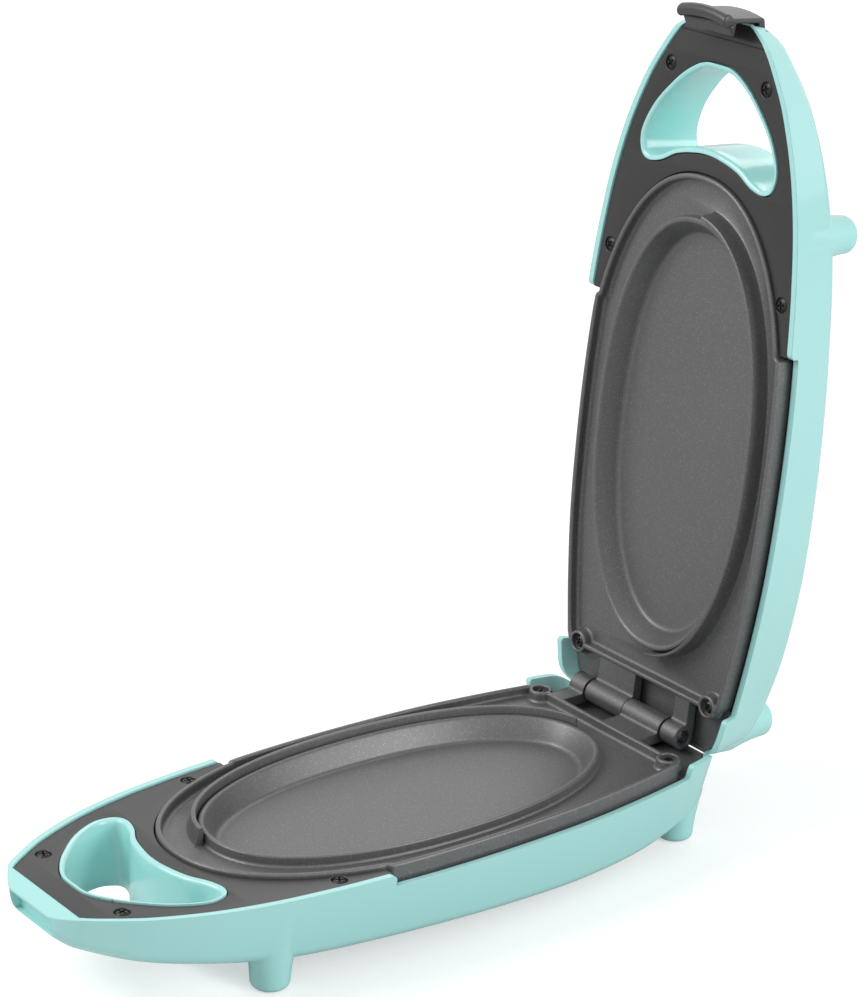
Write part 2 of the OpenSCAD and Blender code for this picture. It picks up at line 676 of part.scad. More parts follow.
// Dark panel round the handle hole
module nose_panel() {
    difference() {
        slab(panel_outline(panel_gap), panel_top, panel_under);
        slab(both_sides(concat([[nose_b + plate_gap, cavity_u]], nose_arc(cavity_u + 8, plate_gap))), 0, stand_h);
        slab(inset(hole_outline, -panel_gap), 0, stand_h);
        pair(screw_rear_x, screw_rear_u, panel_top) {
            post(recess_d, -over, recess_h);
            post(thread_d + 2 * screw_play, 0, stand_h);
        }
        pair(screw_front_x, reach - screw_front, panel_top) {
            post(recess_d, -over, recess_h);
            post(thread_d + 2 * screw_play, 0, stand_h);
        }
    }
}

// High ridge on one side of the cavity, tapering towards the hinge
module ridge() {
    from = -86;
    to = 85;
    steps = 26;
    loft([for (k = [0 : steps]) let (t = from + (to - from) * k / steps,
            f = min(1, 0.4 + 0.6 * (t - from) / 30), g = ridge_in + ridge_w * f)
        [for (q = [[ridge_in, -ridge_h], [ridge_in, floor_top + 0.3], [g + ridge_foot * f, floor_top + 0.3],
                [g, -ridge_h]])
            [-(cavity_b + q[0]) * cos(t), -cavity_u - (cavity_a + q[0]) * sin(t), -q[1]]]]);
}

function oval_ring(g, w) = [for (p = ellipse(cavity_a + g, cavity_b + g)) [p[0], p[1], -w]];

// Knuckles with their webs, about the hinge's own middle
module knuckles(from, length) {
    translate([from, 0, 0]) rotate([0, 90, 0]) cylinder(d = knuckle_d, h = length, $fn = 64);
    translate([from, -plate_rear - lip_w / 2, -web_bottom]) cube([length, plate_rear + lip_w / 2, web_bottom - web_top]);
}

// Lug for a hidden front screw, reaching back to the plate's round nose
module ear(side) {
    translate([side * ear_x, -ear_u, -ear_top - cast_t]) linear_extrude(cast_t) hull() {
        circle(d = ear_d, $fn = 32);
        rotate(90 + side * 45) translate([ear_reach, 0]) circle(d = ear_neck, $fn = 32);
    }
}

// Cast cooking plate with the hinge knuckles of its half
module cooking_plate(shift) {
    difference() {
        union() {
            difference() {
                slab(plate_outline(0), lip_top, skirt_w);
                slab(plate_outline(lip_w), -over, floor_top);
                slab(plate_outline(lip_w), floor_top + cast_t, skirt_w + over);
            }
            loft([oval_ring(2.2, under_w), oval_ring(rim_out, under_w - 3), oval_ring(rim_out, floor_top)]);
            slab(ellipse(cavity_a + rim_out, cavity_b + rim_out), lip_top, floor_top + over);
            ridge();
            pair(corner_x, corner_u, 0) post(corner_d, lip_top, skirt_w);
            ear(1);
            ear(-1);
            bar_middles(0) post(boss_d, under_w - 1, bar_top);
            shield_ends(0) post(shield_boss_d, under_w - 1, shield_w);
            translate([shift, 0, 0]) {
                knuckles(long_from, long_l);
                knuckles(-hinge_end, short_l);
            }
        }
        loft([oval_ring(-2, cavity_w), oval_ring(-0.4, cavity_w - 0.5), oval_ring(0.5, cavity_w - 1.8),
            oval_ring(rim_in, lip_top), oval_ring(rim_in, -over)]);
        translate([shift - hinge_end, 0, 0]) rotate([0, 90, 0]) {
            translate([0, 0, -over])
                cylinder(d = pin_d + 2 * pin_play, h = 2 * hinge_end + 2 * over, $fn = 40);
            translate([0, 0, -over]) cylinder(d = pin_recess_d, h = pin_recess_h + over, $fn = 40);
        }
        pair(corner_x, corner_u, lip_top) {
            post(corner_recess_d, -over, head_h + 1);
            post(thread_d + 2 * screw_play, 0, stand_h);
        }
        pair(ear_x, ear_u, 0) post(thread_d + 2 * screw_play, 0, stand_h);
        bar_middles(bar_top) post(thread_d + 2 * screw_play, -bar_bite - 0.5, over);
        shield_ends(shield_w) post(thread_d + 2 * screw_play, -thread_l, over);
    }
}

// Screw with a cross slot, its head's seat on the origin, pointing down
module screw(length) {
    difference() {
        union() {
            cylinder(d = head_d, h = head_h, $fn = 32);
            translate([0, 0, -length]) cylinder(d = thread_d, h = length + head_h / 2, $fn = 24);
        }
        for (turn = [0, 90])
            rotate([0, 0, turn]) translate([-head_d * 0.32, -cross_slot / 2, head_h * 0.4])
                cube([head_d * 0.64, cross_slot, head_h]);
    }
}

module plate_screws() {
    seat = lip_top + head_h + 1;
    pair(corner_x, corner_u, seat) screw(skirt_w - seat + thread_l);
    pair(ear_x, ear_u, ear_top) screw(cast_t + thread_l);
}

module panel_screws() {
    pair(screw_rear_x, screw_rear_u, panel_top + recess_h) screw(panel_t - recess_h + thread_l);
    pair(screw_front_x, reach - screw_front, panel_top + recess_h) screw(panel_t - recess_h + thread_l);
}

// Both ends of the shield's row of bosses
module shield_ends(w) {
    at(0, cavity_u - cavity_a + shield_boss_in, w) children();
    at(0, cavity_u + cavity_a - shield_boss_in, w) children();
}

module bar_middles(w) {
    at(0, bar_rear, w) children();
    at(0, bar_front, w) children();
}

// Tubular element bent to a U, with bare pins at its rear ends
module heating_element() {
    at(0, bend_u, tube_w) rotate([0, 0, 180])
        rotate_extrude(angle = 180, $fn = 96) translate([leg_x, 0]) circle(d = tube_d, $fn = 32);
    pair(leg_x, bend_u, tube_w) rotate([-90, 0, 0]) cylinder(d = tube_d, h = bend_u - leg_end, $fn = 32);
    pair(leg_x, leg_end, tube_w) rotate([-90, 0, 0]) cylinder(d = bare_d, h = bare_l, $fn = 24);
}

module clamp_bars() {
    difference() {
        for (u = [bar_rear, bar_front]) block(bar_half, u - bar_w / 2, u + bar_w / 2, bar_top, bar_under);
        bar_middles(0) post(thread_d + 2 * screw_play, 0, stand_h);
    }
}

module bar_screws() {
    bar_middles(bar_under) rotate([180, 0, 0]) screw(bar_t + bar_bite);
}

// Thin oval tray under the element
module heat_shield() {
    difference() {
        slab(ellipse(shield_a, shield_b), shield_w - shield_edge, shield_w + shield_t);
        slab(ellipse(shield_a - shield_t, shield_b - shield_t), shield_w - shield_edge - over, shield_w);
        shield_ends(0) post(thread_d + 2 * screw_play, 0, stand_h);
    }
}

module shield_screws() {
    shield_ends(shield_w + shield_t) rotate([180, 0, 0]) screw(shield_t + thread_l - 1);
}

// Snap-disc thermostat with two flat tabs
module thermostat() {
    at(0, stat_u, under_w) {
        post(stat_d, 0, stat_h - stat_cap);
        post(stat_d - 4, stat_h - stat_cap - over, stat_h);
    }
    pair(tab_x, 0, tab_level) translate([-tab_w / 2, -stat_u + stat_d / 2 - 2, -tab_t / 2])
        cube([tab_w, tab_l + 2, tab_t]);
}

module fuse_sleeve() {
    at(fuse_x, fuse_u, fuse_level) rotate([90, 0, 0]) cylinder(d = fuse_d, h = fuse_l, center = true, $fn = 32);
}

module terminals(w) {
    for (i = [-1 : 1]) at(i * block_pitch, block_u, w) children();
}

module block_body() {
    difference() {
        block(block_half, block_u - block_l / 2, block_u + block_l / 2, block_top, block_top + block_h);
        terminals(block_top) post(terminal_d + 2 * screw_play, -over, terminal_h + terminal_sink);
    }
}

module block_screws() {
    terminals(block_top + terminal_sink) difference() {
        post(terminal_d, 0, terminal_h);
        translate([-terminal_d / 2 - over, -terminal_slot / 2, -over])
            cube([terminal_d + 2 * over, terminal_slot, 2 * over]);
    }
}

// Square with cut corners, which keeps the bush from turning in the wall
function neck(size) = let (h = size / 2, c = size / 2 - neck_cut)
    [[h, -c], [h, c], [c, h], [-c, h], [-h, c], [-h, -c], [-c, -h], [c, -h]];

// Bush that lines the cord's hole in the rear wall
module bush() {
    at(0, -overhang - flange_t, inlet_w) rotate([90, 0, 0]) difference() {
        union() {
            cylinder(d = flange_d, h = flange_t, $fn = 48);
            linear_extrude(flange_t + wall + neck_lip) polygon(neck(inlet_d - 2 * screw_play));
            translate([0, 0, flange_t + wall]) linear_extrude(neck_lip) polygon(neck(inlet_d + neck_lip));
        }
        translate([0, 0, -over]) cylinder(d = cord_d, h = flange_t + wall + neck_lip + 2 * over, $fn = 40);
    }
}

// Leads run from a solid's face to a pin or a tab
module pin_end_lead(start, side) {
    wire(concat(start, [[side * (leg_x - 5), bare_end - 7, tube_w + 0.6], [side * (leg_x - 0.8), bare_end - 5, tube_w],
        [side * leg_x, bare_end - 2, tube_w], [side * leg_x, bare_end, tube_w]]), lead_d);
}

module base_lead_set() {
    front = block_u + block_l / 2;
    tab_end = stat_u - stat_d / 2 - tab_l;
    inner = 6.5;
    outer = 11;
    pin_end_lead([[-outer, front, lead_level], [-outer, front + lead_stub, lead_level],
        [-outer - 1, front + 5, lead_level - 1]], -1);
    wire([[-inner, front, lead_level], [-inner, front + 10, lead_level], [-inner, tab_end - 13, lead_level],
        [-tab_x - 0.6, tab_end - 6, tab_level + 2.4], [-tab_x, tab_end - 2, tab_level],
        [-tab_x, tab_end, tab_level]], lead_d);
    wire([[tab_x, tab_end, tab_level], [tab_x, tab_end - lead_stub, tab_level],
        [fuse_x, fuse_u + fuse_l / 2 + lead_stub, fuse_level], [fuse_x, fuse_u + fuse_l / 2, fuse_level]], lead_d);
    pin_end_lead([[fuse_x, fuse_u - fuse_l / 2, fuse_level], [fuse_x, fuse_u - fuse_l / 2 - 8, fuse_level],
        [fuse_x + 2, bare_end, fuse_level]], 1);
}

module lid_lead_set() {
    rear = lamp_u - board_l / 2;
    tab_end = stat_u - stat_d / 2 - tab_l;
    inner = 9;
    outer = 13.5;
    pin_end_lead([[-outer, rear, lead_level], [-outer, rear - 10, lead_level], [-outer, bare_end + 12, lead_level],
        [-outer - 0.6, bare_end - 1, lead_level - 2.5]], -1);
    wire([[-inner, rear, lead_level], [-inner, rear - 10, lead_level], [-inner, tab_end - 2, lead_level],
        [-inner, tab_end - 9, lead_level - 2], [-tab_x - 2, tab_end - 12.5, tab_level + 2.2],
        [-tab_x - 0.2, tab_end - 9, tab_level + 0.6], [-tab_x, tab_end - 3, tab_level],
        [-tab_x, tab_end, tab_level]], lead_d);
    pin_end_lead([[tab_x, tab_end, tab_level], [tab_x, tab_end - lead_stub, tab_level],
        [fuse_x, tab_end - 14, fuse_level], [fuse_x, bare_end + 12, fuse_level],
        [fuse_x + 2, bare_end, fuse_level]], 1);
}

module lamps() {
    pair(lamp_x, lamp_u, 0) post(lamp_d, board_under, lens_seat - lens_flange_t - piece_gap);
}

module board_body() {
    slab([[-board_half, board_l / 2 - lamp_u], [board_half, board_l / 2 - lamp_u],
        [board_half, -board_l / 2 - lamp_u], [-board_half, -board_l / 2 - lamp_u]], board_under - board_t, board_under);
}

module lenses() {
    pair(lamp_x, lamp_u, 0) {
        post(lens_d, lens_seat - lens_flange_t, keel_w(lamp_u) + lens_h);
        post(lens_d + 2, lens_seat - lens_flange_t, lens_seat);
    }
}

module hinge_rod() {
    shaft = hinge_end - pin_recess_h + pin_play;
    rotate([0, 90, 0]) {
        cylinder(d = pin_d, h = 2 * shaft, center = true, $fn = 40);
        translate([0, 0, shaft]) cylinder(d = pin_head_d, h = pin_head_h, $fn = 40);
        translate([0, 0, -shaft - pin_head_h]) cylinder(d = pin_head_d, h = pin_head_h, $fn = 40);
    }
}

module latch_rod() {
    at(0, pivot_u, latch_pin_w) rotate([0, 90, 0])
        cylinder(d = latch_pin_d, h = latch_pin_l, center = true, $fn = 32);
}

// Arched clip with its barrel, hook and finger bead
module clip() {
    half = latch_w / 2;
    bow = (half * half + clip_bulge * clip_bulge) / (2 * clip_bulge);
    bow_u = arm_in + arm_t + clip_bulge - bow;
    top = -hook_w - bead_up;
    foot = latch_pin_w + 1.5;
    lip = [[pocket_u + 0.4, -hook_w], [pocket_u + 0.4, -hook_w - 0.8], [arm_in - 1.4, -hook_w - 3.3],
        [arm_in + clip_bulge + 0.6, -hook_w - 3.3], [arm_in + clip_bulge + 0.6, -hook_w]];
    difference() {
        union() {
            intersection() {
                block(half, pocket_u, tip_u + 3 * arm_t + clip_bulge, top - bead_r - over, foot);
                union() {
                    difference() {
                        at(0, bow_u, 0) post(2 * bow, top, foot);
                        at(0, bow_u, 0) post(2 * (bow - arm_t), top - over, foot + over);
                    }
                    intersection() {
                        at(0, bow_u, 0) post(2 * bow - arm_t, top, foot);
                        union() {
                            across(lip, half);
                            block(half, pivot_u, tip_u + 3 * arm_t, latch_pin_w - 1.5, foot);
                        }
                    }
                    at(0, bow_u, top) rotate([0, 0, -90 - 20]) rotate_extrude(angle = 40, $fn = 180)
                        translate([bow - arm_t / 2, 0]) circle(r = bead_r, $fn = 40);
                }
            }
            at(0, pivot_u, latch_pin_w) rotate([0, 90, 0]) cylinder(d = barrel_d, h = latch_w, center = true, $fn = 40);
        }
        at(0, pivot_u, latch_pin_w) rotate([0, 90, 0])
            cylinder(d = latch_pin_d + 2 * pin_play, h = latch_w + 2 * over, center = true, $fn = 32);
    }
}

module base_shell() { color(mint) base_place() shell(false); }
module base_nose_panel() { color(charcoal) base_place() nose_panel(); }
module base_plate() { color(cast_grey) base_place() cooking_plate(-hinge_shift); }
module base_plate_screws() { color(black) base_place() plate_screws(); }
module base_panel_screws() { color(black) base_place() panel_screws(); }
module base_heating_element() { color(steel) base_place() heating_element(); }
module base_clamp_bars() { color(galvanised) base_place() clamp_bars(); }
module base_bar_screws() { color(steel) base_place() bar_screws(); }
module base_heat_shield() { color(galvanised) base_place() heat_shield(); }
module base_shield_screws() { color(steel) base_place() shield_screws(); }
module base_thermostat() { color(ceramic) base_place() thermostat(); }
module thermal_fuse() { color(lead_white) base_place() fuse_sleeve(); }
module terminal_block() { color(ceramic) base_place() block_body(); }
module terminal_screws() { color(brass) base_place() block_screws(); }
module inlet_bush() { color(black) base_place() bush(); }
module base_leads() { color(lead_white) base_place() base_lead_set(); }
module hinge_pin() { color(steel) base_place() translate([-hinge_shift, 0, 0]) hinge_rod(); }
module lid_shell() { color(mint) lid_place() shell(true); }
module lid_nose_panel() { color(charcoal) lid_place() nose_panel(); }
module lid_plate() { color(cast_grey) lid_place() cooking_plate(hinge_shift); }
module lid_plate_screws() { color(black) lid_place() plate_screws(); }
module lid_panel_screws() { color(black) lid_place() panel_screws(); }
module lid_heating_element() { color(steel) lid_place() heating_element(); }
module lid_clamp_bars() { color(galvanised) lid_place() clamp_bars(); }
module lid_bar_screws() { color(steel) lid_place() bar_screws(); }
module lid_heat_shield() { color(galvanised) lid_place() heat_shield(); }
module lid_shield_screws() { color(steel) lid_place() shield_screws(); }
module lid_thermostat() { color(ceramic) lid_place() thermostat(); }
module lamp_board() { color(board_green) lid_place() board_body(); }
module indicator_lamps() { color(lamp_glass) lid_place() lamps(); }
module indicator_lenses() { color(lens_red) lid_place() lenses(); }
module lid_leads() { color(lead_white) lid_place() lid_lead_set(); }
module latch_pin() { color(steel) lid_place() latch_rod(); }
module latch_clip() { color(charcoal) lid_place() clip(); }

base_shell();
base_nose_panel();
base_plate();
base_plate_screws();
base_panel_screws();
base_heating_element();
base_clamp_bars();
base_bar_screws();
base_heat_shield();
base_shield_screws();
base_thermostat();
thermal_fuse();
terminal_block();
terminal_screws();
inlet_bush();
base_leads();
hinge_pin();
lid_shell();
lid_nose_panel();
lid_plate();
lid_plate_screws();
lid_panel_screws();
lid_heating_element();
lid_clamp_bars();
lid_bar_screws();
lid_heat_shield();
lid_shield_screws();
lid_thermostat();
lamp_board();
indicator_lamps();
indicator_lenses();
lid_leads();
latch_pin();
latch_clip();
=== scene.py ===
"""Looks of the electric omelette maker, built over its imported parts.

Each half is drawn in its own millimetres, as in the part's source: x across the body, y = -u with u the
distance from the hinge axis towards the nose, and z = -w with w the depth below the parting plane.
"""

import logging
import math
from dataclasses import dataclass, field
from enum import Enum
from typing import Sequence

import bmesh
import bpy
import numpy as np
from mathutils import Matrix, Vector
from mathutils.geometry import tessellate_polygon


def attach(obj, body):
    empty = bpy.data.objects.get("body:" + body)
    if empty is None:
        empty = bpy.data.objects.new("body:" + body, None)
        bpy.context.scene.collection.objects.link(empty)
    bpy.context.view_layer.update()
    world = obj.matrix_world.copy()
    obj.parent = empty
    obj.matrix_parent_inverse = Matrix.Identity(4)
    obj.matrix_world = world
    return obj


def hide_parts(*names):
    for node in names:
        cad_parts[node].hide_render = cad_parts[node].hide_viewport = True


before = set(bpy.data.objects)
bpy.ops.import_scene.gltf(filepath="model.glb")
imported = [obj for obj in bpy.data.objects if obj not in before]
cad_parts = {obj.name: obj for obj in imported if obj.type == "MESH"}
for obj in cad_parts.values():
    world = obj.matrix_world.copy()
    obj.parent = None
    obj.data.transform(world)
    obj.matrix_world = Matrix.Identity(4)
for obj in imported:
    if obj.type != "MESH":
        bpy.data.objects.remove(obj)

LOG = logging.getLogger("omelette_maker")
MM = 0.001
PAST = 1.0  # How far a cutter reaches past what it cuts.
ON_AXIS = 0.01  # Points nearer the middle than this have no twin on the other side.
SHARP = 32.0  # Edges sharper than this many degrees stay sharp.
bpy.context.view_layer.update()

Point = tuple[float, float, float]
Pair = tuple[float, float]
Loop = list[Pair]
Rows = tuple[Pair, ...]


class Side(Enum):
    """The two halves."""

    BASE = "base"
    LID = "lid"


@dataclass(frozen=True)
class Stance:
    """How the halves stand at rest, in millimetres and degrees."""

    origin_y: float = 123.28653
    stand_h: float = 46.7
    open_angle: float = 94.8

    def place(self, side: Side) -> Matrix:
        """Where a half lies in the row frame.

        Args:
            side: The half.

        Returns:
            The matrix from the half's own millimetres to the row frame's metres.
        """
        at = Matrix.Translation((0, self.origin_y, self.stand_h))
        if side is Side.LID:
            at = at @ Matrix.Rotation(math.radians(-self.open_angle), 4, "X")
            at = at @ Matrix.Rotation(math.pi, 4, "Y")
        return Matrix.Scale(MM, 4) @ at


STANCE = Stance()


# Shader groups


class ShaderKit:
    """Node groups for effects that several finishes share."""

    SPECK_RIM: float = 0.42
    SPECK_CORE: float = 0.2
    groups: dict[str, bpy.types.NodeTree] = {}

    @classmethod
    def start(cls, name: str, inputs: dict[str, float], outputs: Sequence[str]) -> bpy.types.NodeTree:
        """Starts a group.

        Args:
            name: Its name.
            inputs: Its inputs and their usual values.
            outputs: Its outputs.

        Returns:
            The group, with its sockets only.
        """
        tree = bpy.data.node_groups.new(name, "ShaderNodeTree")
        for socket, value in inputs.items():
            made = tree.interface.new_socket(socket, in_out="INPUT", socket_type="NodeSocketFloat")
            made.default_value = value
        for socket in outputs:
            tree.interface.new_socket(socket, in_out="OUTPUT", socket_type="NodeSocketFloat")
        cls.groups[name] = tree
        return tree

    @classmethod
    def grain(cls) -> bpy.types.NodeTree:
        """Fine even grain with a slow variation under it.

        Returns:
            A group with inputs Scale and Slow Scale and outputs Grain and Slow, each from 0 to 1.
        """
        if "moulding_grain" in cls.groups:
            return cls.groups["moulding_grain"]
        tree = cls.start("moulding_grain", {"Scale": 2500.0, "Slow Scale": 22.0}, ("Grain", "Slow"))
        n, l = tree.nodes, tree.links
        given, out = n.new("NodeGroupInput"), n.new("NodeGroupOutput")
        coords = n.new("ShaderNodeTexCoord")
        fine, slow = n.new("ShaderNodeTexNoise"), n.new("ShaderNodeTexNoise")
        fine.inputs["Detail"].default_value = 2.0
        slow.inputs["Detail"].default_value = 3.0
        for noise, socket, name in ((fine, "Scale", "Grain"), (slow, "Slow Scale", "Slow")):
            l.new(coords.outputs["Object"], noise.inputs["Vector"])
            l.new(given.outputs[socket], noise.inputs["Scale"])
            l.new(noise.outputs["Fac"], out.inputs[name])
        return tree

    @classmethod
    def specks(cls) -> bpy.types.NodeTree:
        """Small scattered specks, as in a non-stick coat.

        Returns:
            A group with inputs Scale and Amount and output Specks, 1 on a speck.
        """
        if "coat_specks" in cls.groups:
            return cls.groups["coat_specks"]
        tree = cls.start("coat_specks", {"Scale": 900.0, "Amount": 0.5}, ("Specks",))
        n, l = tree.nodes, tree.links
        given, out = n.new("NodeGroupInput"), n.new("NodeGroupOutput")
        coords, cells, colour, near, pick, both = (n.new("ShaderNode" + kind) for kind in (
            "TexCoord", "TexVoronoi", "SeparateColor", "MapRange", "Math", "Math"))
        cells.feature, pick.operation, both.operation = "F1", "LESS_THAN", "MULTIPLY"
        near.inputs["From Min"].default_value = cls.SPECK_RIM
        near.inputs["From Max"].default_value = cls.SPECK_CORE
        l.new(coords.outputs["Object"], cells.inputs["Vector"])
        l.new(given.outputs["Scale"], cells.inputs["Scale"])
        l.new(cells.outputs["Distance"], near.inputs["Value"])
        l.new(cells.outputs["Color"], colour.inputs["Color"])
        l.new(colour.outputs["Red"], pick.inputs[0])
        l.new(given.outputs["Amount"], pick.inputs[1])
        l.new(near.outputs["Result"], both.inputs[0])
        l.new(pick.outputs[0], both.inputs[1])
        l.new(both.outputs[0], out.inputs["Specks"])
        return tree


@dataclass(frozen=True)
class Finish:
    """A surface's finish. Colours are linear, radii and heights are millimetres."""

    name: str
    colour: tuple[float, float, float]
    roughness: float = 0.4
    metallic: float = 0.0
    colour_shift: float = 0.04
    rough_shift: float = 0.06
    grain_scale: float = 2500.0
    grain_height: float = 0.0
    slow_scale: float = 22.0
    speck_colour: tuple[float, float, float] | None = None
    speck_scale: float = 900.0
    speck_amount: float = 0.5
    speck_height: float = 0.0
    coat: float = 0.0
    edge_r: float = 0.0
    specular: float = 0.5
    alpha: float = 1.0
    subsurface: float = 0.0

    def material(self) -> bpy.types.Material:
        """The finish as a node material, built once.

        Returns:
            The material.
        """
        found = bpy.data.materials.get("finish_" + self.name)
        if found:
            return found
        made = bpy.data.materials.new("finish_" + self.name)
        made.use_nodes = True
        n, l = made.node_tree.nodes, made.node_tree.links
        shader = n["Principled BSDF"]
        shader.inputs["Metallic"].default_value = self.metallic
        shader.inputs["Coat Weight"].default_value = self.coat
        shader.inputs["Coat Roughness"].default_value = 0.08
        shader.inputs["Specular IOR Level"].default_value = self.specular
        if self.subsurface:
            shader.inputs["Subsurface Weight"].default_value = self.subsurface
            shader.inputs["Subsurface Radius"].default_value = (1.0, 1.0, 1.0)
            shader.inputs["Subsurface Scale"].default_value = 0.0015
        grain = n.new("ShaderNodeGroup")
        grain.node_tree = ShaderKit.grain()
        grain.inputs["Scale"].default_value = self.grain_scale
        grain.inputs["Slow Scale"].default_value = self.slow_scale
        shade = n.new("ShaderNodeMapRange")
        shade.inputs["To Min"].default_value = 1 - self.colour_shift
        shade.inputs["To Max"].default_value = 1 + self.colour_shift
        l.new(grain.outputs["Slow"], shade.inputs["Value"])
        tint = n.new("ShaderNodeMix")
        tint.data_type = "RGBA"
        tint.blend_type = "MULTIPLY"
        tint.inputs["Factor"].default_value = 1.0
        tint.inputs["A"].default_value = (*self.colour, 1)
        l.new(shade.outputs["Result"], tint.inputs["B"])
        colour = tint.outputs["Result"]
        rough = n.new("ShaderNodeMapRange")
        rough.inputs["To Min"].default_value = self.roughness - self.rough_shift
        rough.inputs["To Max"].default_value = self.roughness + self.rough_shift
        l.new(grain.outputs["Slow"], rough.inputs["Value"])
        l.new(rough.outputs["Result"], shader.inputs["Roughness"])
        height, depth = grain.outputs["Grain"], self.grain_height
        if self.speck_colour:
            specks = n.new("ShaderNodeGroup")
            specks.node_tree = ShaderKit.specks()
            specks.inputs["Scale"].default_value = self.speck_scale
            specks.inputs["Amount"].default_value = self.speck_amount
            mix = n.new("ShaderNodeMix")
            mix.data_type = "RGBA"
            l.new(specks.outputs["Specks"], mix.inputs["Factor"])
            l.new(colour, mix.inputs["A"])
            mix.inputs["B"].default_value = (*self.speck_colour, 1)
            colour = mix.outputs["Result"]
            if self.speck_height:
                add = n.new("ShaderNodeMath")
                add.operation = "MULTIPLY_ADD"
                l.new(specks.outputs["Specks"], add.inputs[0])
                add.inputs[1].default_value = self.speck_height / max(self.grain_height, 0.001)
                l.new(grain.outputs["Grain"], add.inputs[2])
                height = add.outputs[0]
        l.new(colour, shader.inputs["Base Color"])
        normal = None
        if self.edge_r:
            edge = n.new("ShaderNodeBevel")
            edge.samples = 6
            edge.inputs["Radius"].default_value = self.edge_r * MM
            normal = edge.outputs["Normal"]
        if depth:
            bump = n.new("ShaderNodeBump")
            bump.inputs["Distance"].default_value = depth * MM
            bump.inputs["Strength"].default_value = 1.0
            l.new(height, bump.inputs["Height"])
            if normal:
                l.new(normal, bump.inputs["Normal"])
            normal = bump.outputs["Normal"]
        if normal:
            l.new(normal, shader.inputs["Normal"])
        if self.alpha < 1:
            shader.inputs["Alpha"].default_value = self.alpha
        return made


class Finishes:
    """Every finish of the object."""

    MINT = Finish("mint_shell", (0.4, 0.77, 0.745), 0.22, colour_shift=0.015, rough_shift=0.03, coat=0.5,
                  edge_r=0.7, grain_height=0.004, grain_scale=900, slow_scale=14)
    CHARCOAL = Finish("charcoal_panel", (0.026, 0.026, 0.027), 0.33, colour_shift=0.05, rough_shift=0.04,
                      grain_scale=3200, grain_height=0.010, edge_r=0.35)
    LATCH = Finish("latch_plastic", (0.045, 0.045, 0.047), 0.36, colour_shift=0.05, grain_scale=3000,
                   grain_height=0.010, edge_r=0.4)
    COAT = Finish("non_stick_coat", (0.138, 0.138, 0.14), 0.42, metallic=0.45, colour_shift=0.06,
                  rough_shift=0.05, grain_scale=1900, grain_height=0.03, speck_colour=(0.24, 0.24, 0.245),
                  speck_scale=1500, speck_amount=0.3, speck_height=0.01, edge_r=0.6)
    BLACK_SCREW = Finish("black_screw", (0.018, 0.018, 0.02), 0.35, metallic=0.3, edge_r=0.12,
                         grain_height=0.004)
    STEEL = Finish("plain_steel", (0.55, 0.56, 0.58), 0.32, metallic=1.0, grain_height=0.004,
                   grain_scale=1400)
    ZINC = Finish("zinc_sheet", (0.5, 0.52, 0.54), 0.45, metallic=1.0, slow_scale=90, colour_shift=0.15)
    PIN = Finish("pin_steel", (0.08, 0.08, 0.085), 0.3, metallic=0.8, edge_r=0.2)
    CERAMIC = Finish("ceramic", (0.76, 0.73, 0.66), 0.55, grain_height=0.01)
    SLEEVE = Finish("glass_sleeve", (0.7, 0.67, 0.6), 0.7, grain_height=0.04, grain_scale=1200)
    BRASS = Finish("brass", (0.78, 0.58, 0.26), 0.3, metallic=1.0)
    BOARD = Finish("lacquered_board", (0.03, 0.16, 0.06), 0.3, coat=0.4)
    LAMP = Finish("lamp_glass", (0.9, 0.4, 0.15), 0.15, alpha=0.6)
    LENS = Finish("red_lens", (0.62, 0.02, 0.015), 0.12, coat=0.5, subsurface=0.2, edge_r=0.3)
    RUBBER = Finish("black_rubber", (0.02, 0.02, 0.02), 0.7, grain_height=0.01, edge_r=0.3)


# Meshes


def in_scene(name: str, data: bpy.types.ID) -> bpy.types.Object:
    """A new object in the scene.

    Args:
        name: Its name.
        data: Its mesh, camera or lamp.

    Returns:
        The object.
    """
    made = bpy.data.objects.new(name, data)
    bpy.context.scene.collection.objects.link(made)
    return made


class Draft:
    """Points and faces of a piece in a half's own millimetres."""

    def __init__(self) -> None:
        """Starts empty."""
        self.points: list[Point] = []
        self.faces: list[tuple[int, ...]] = []

    def add(self, points: Sequence[Point], faces: Sequence[tuple[int, ...]]) -> "Draft":
        """Adds faces over new points.

        Args:
            points: The points.
            faces: Faces, by place in points.

        Returns:
            This draft.
        """
        base = len(self.points)
        self.points += [tuple(float(c) for c in p) for p in points]
        self.faces += [tuple(base + i for i in f) for f in faces]
        return self

    def rings(self, rings: Sequence[Sequence[Point]], caps: bool = True) -> "Draft":
        """Adds a skin through closed rings of equal length.

        Args:
            rings: The rings.
            caps: Whether flat faces close the ends.

        Returns:
            This draft.
        """
        m, n = len(rings), len(rings[0])
        faces: list[tuple[int, ...]] = []
        for j in range(m - 1):
            for i in range(n):
                a, b = j * n + i, j * n + (i + 1) % n
                faces.append((a, b, b + n, a + n))
        if caps:
            faces += [tuple(range(n - 1, -1, -1)), tuple(range((m - 1) * n, m * n))]
        return self.add([p for r in rings for p in r], faces)

    def solid(self, name: str) -> bpy.types.Object:
        """The draft as a closed object, its faces pointing outwards.

        Args:
            name: Its name.

        Returns:
            The object, still in millimetres.
        """
        mesh = bpy.data.meshes.new(name)
        mesh.from_pydata(self.points, [], self.faces)
        work = bmesh.new()
        work.from_mesh(mesh)
        bmesh.ops.remove_doubles(work, verts=work.verts, dist=1e-4)
        bmesh.ops.recalc_face_normals(work, faces=work.faces)
        work.to_mesh(mesh)
        work.free()
        return in_scene(name, mesh)


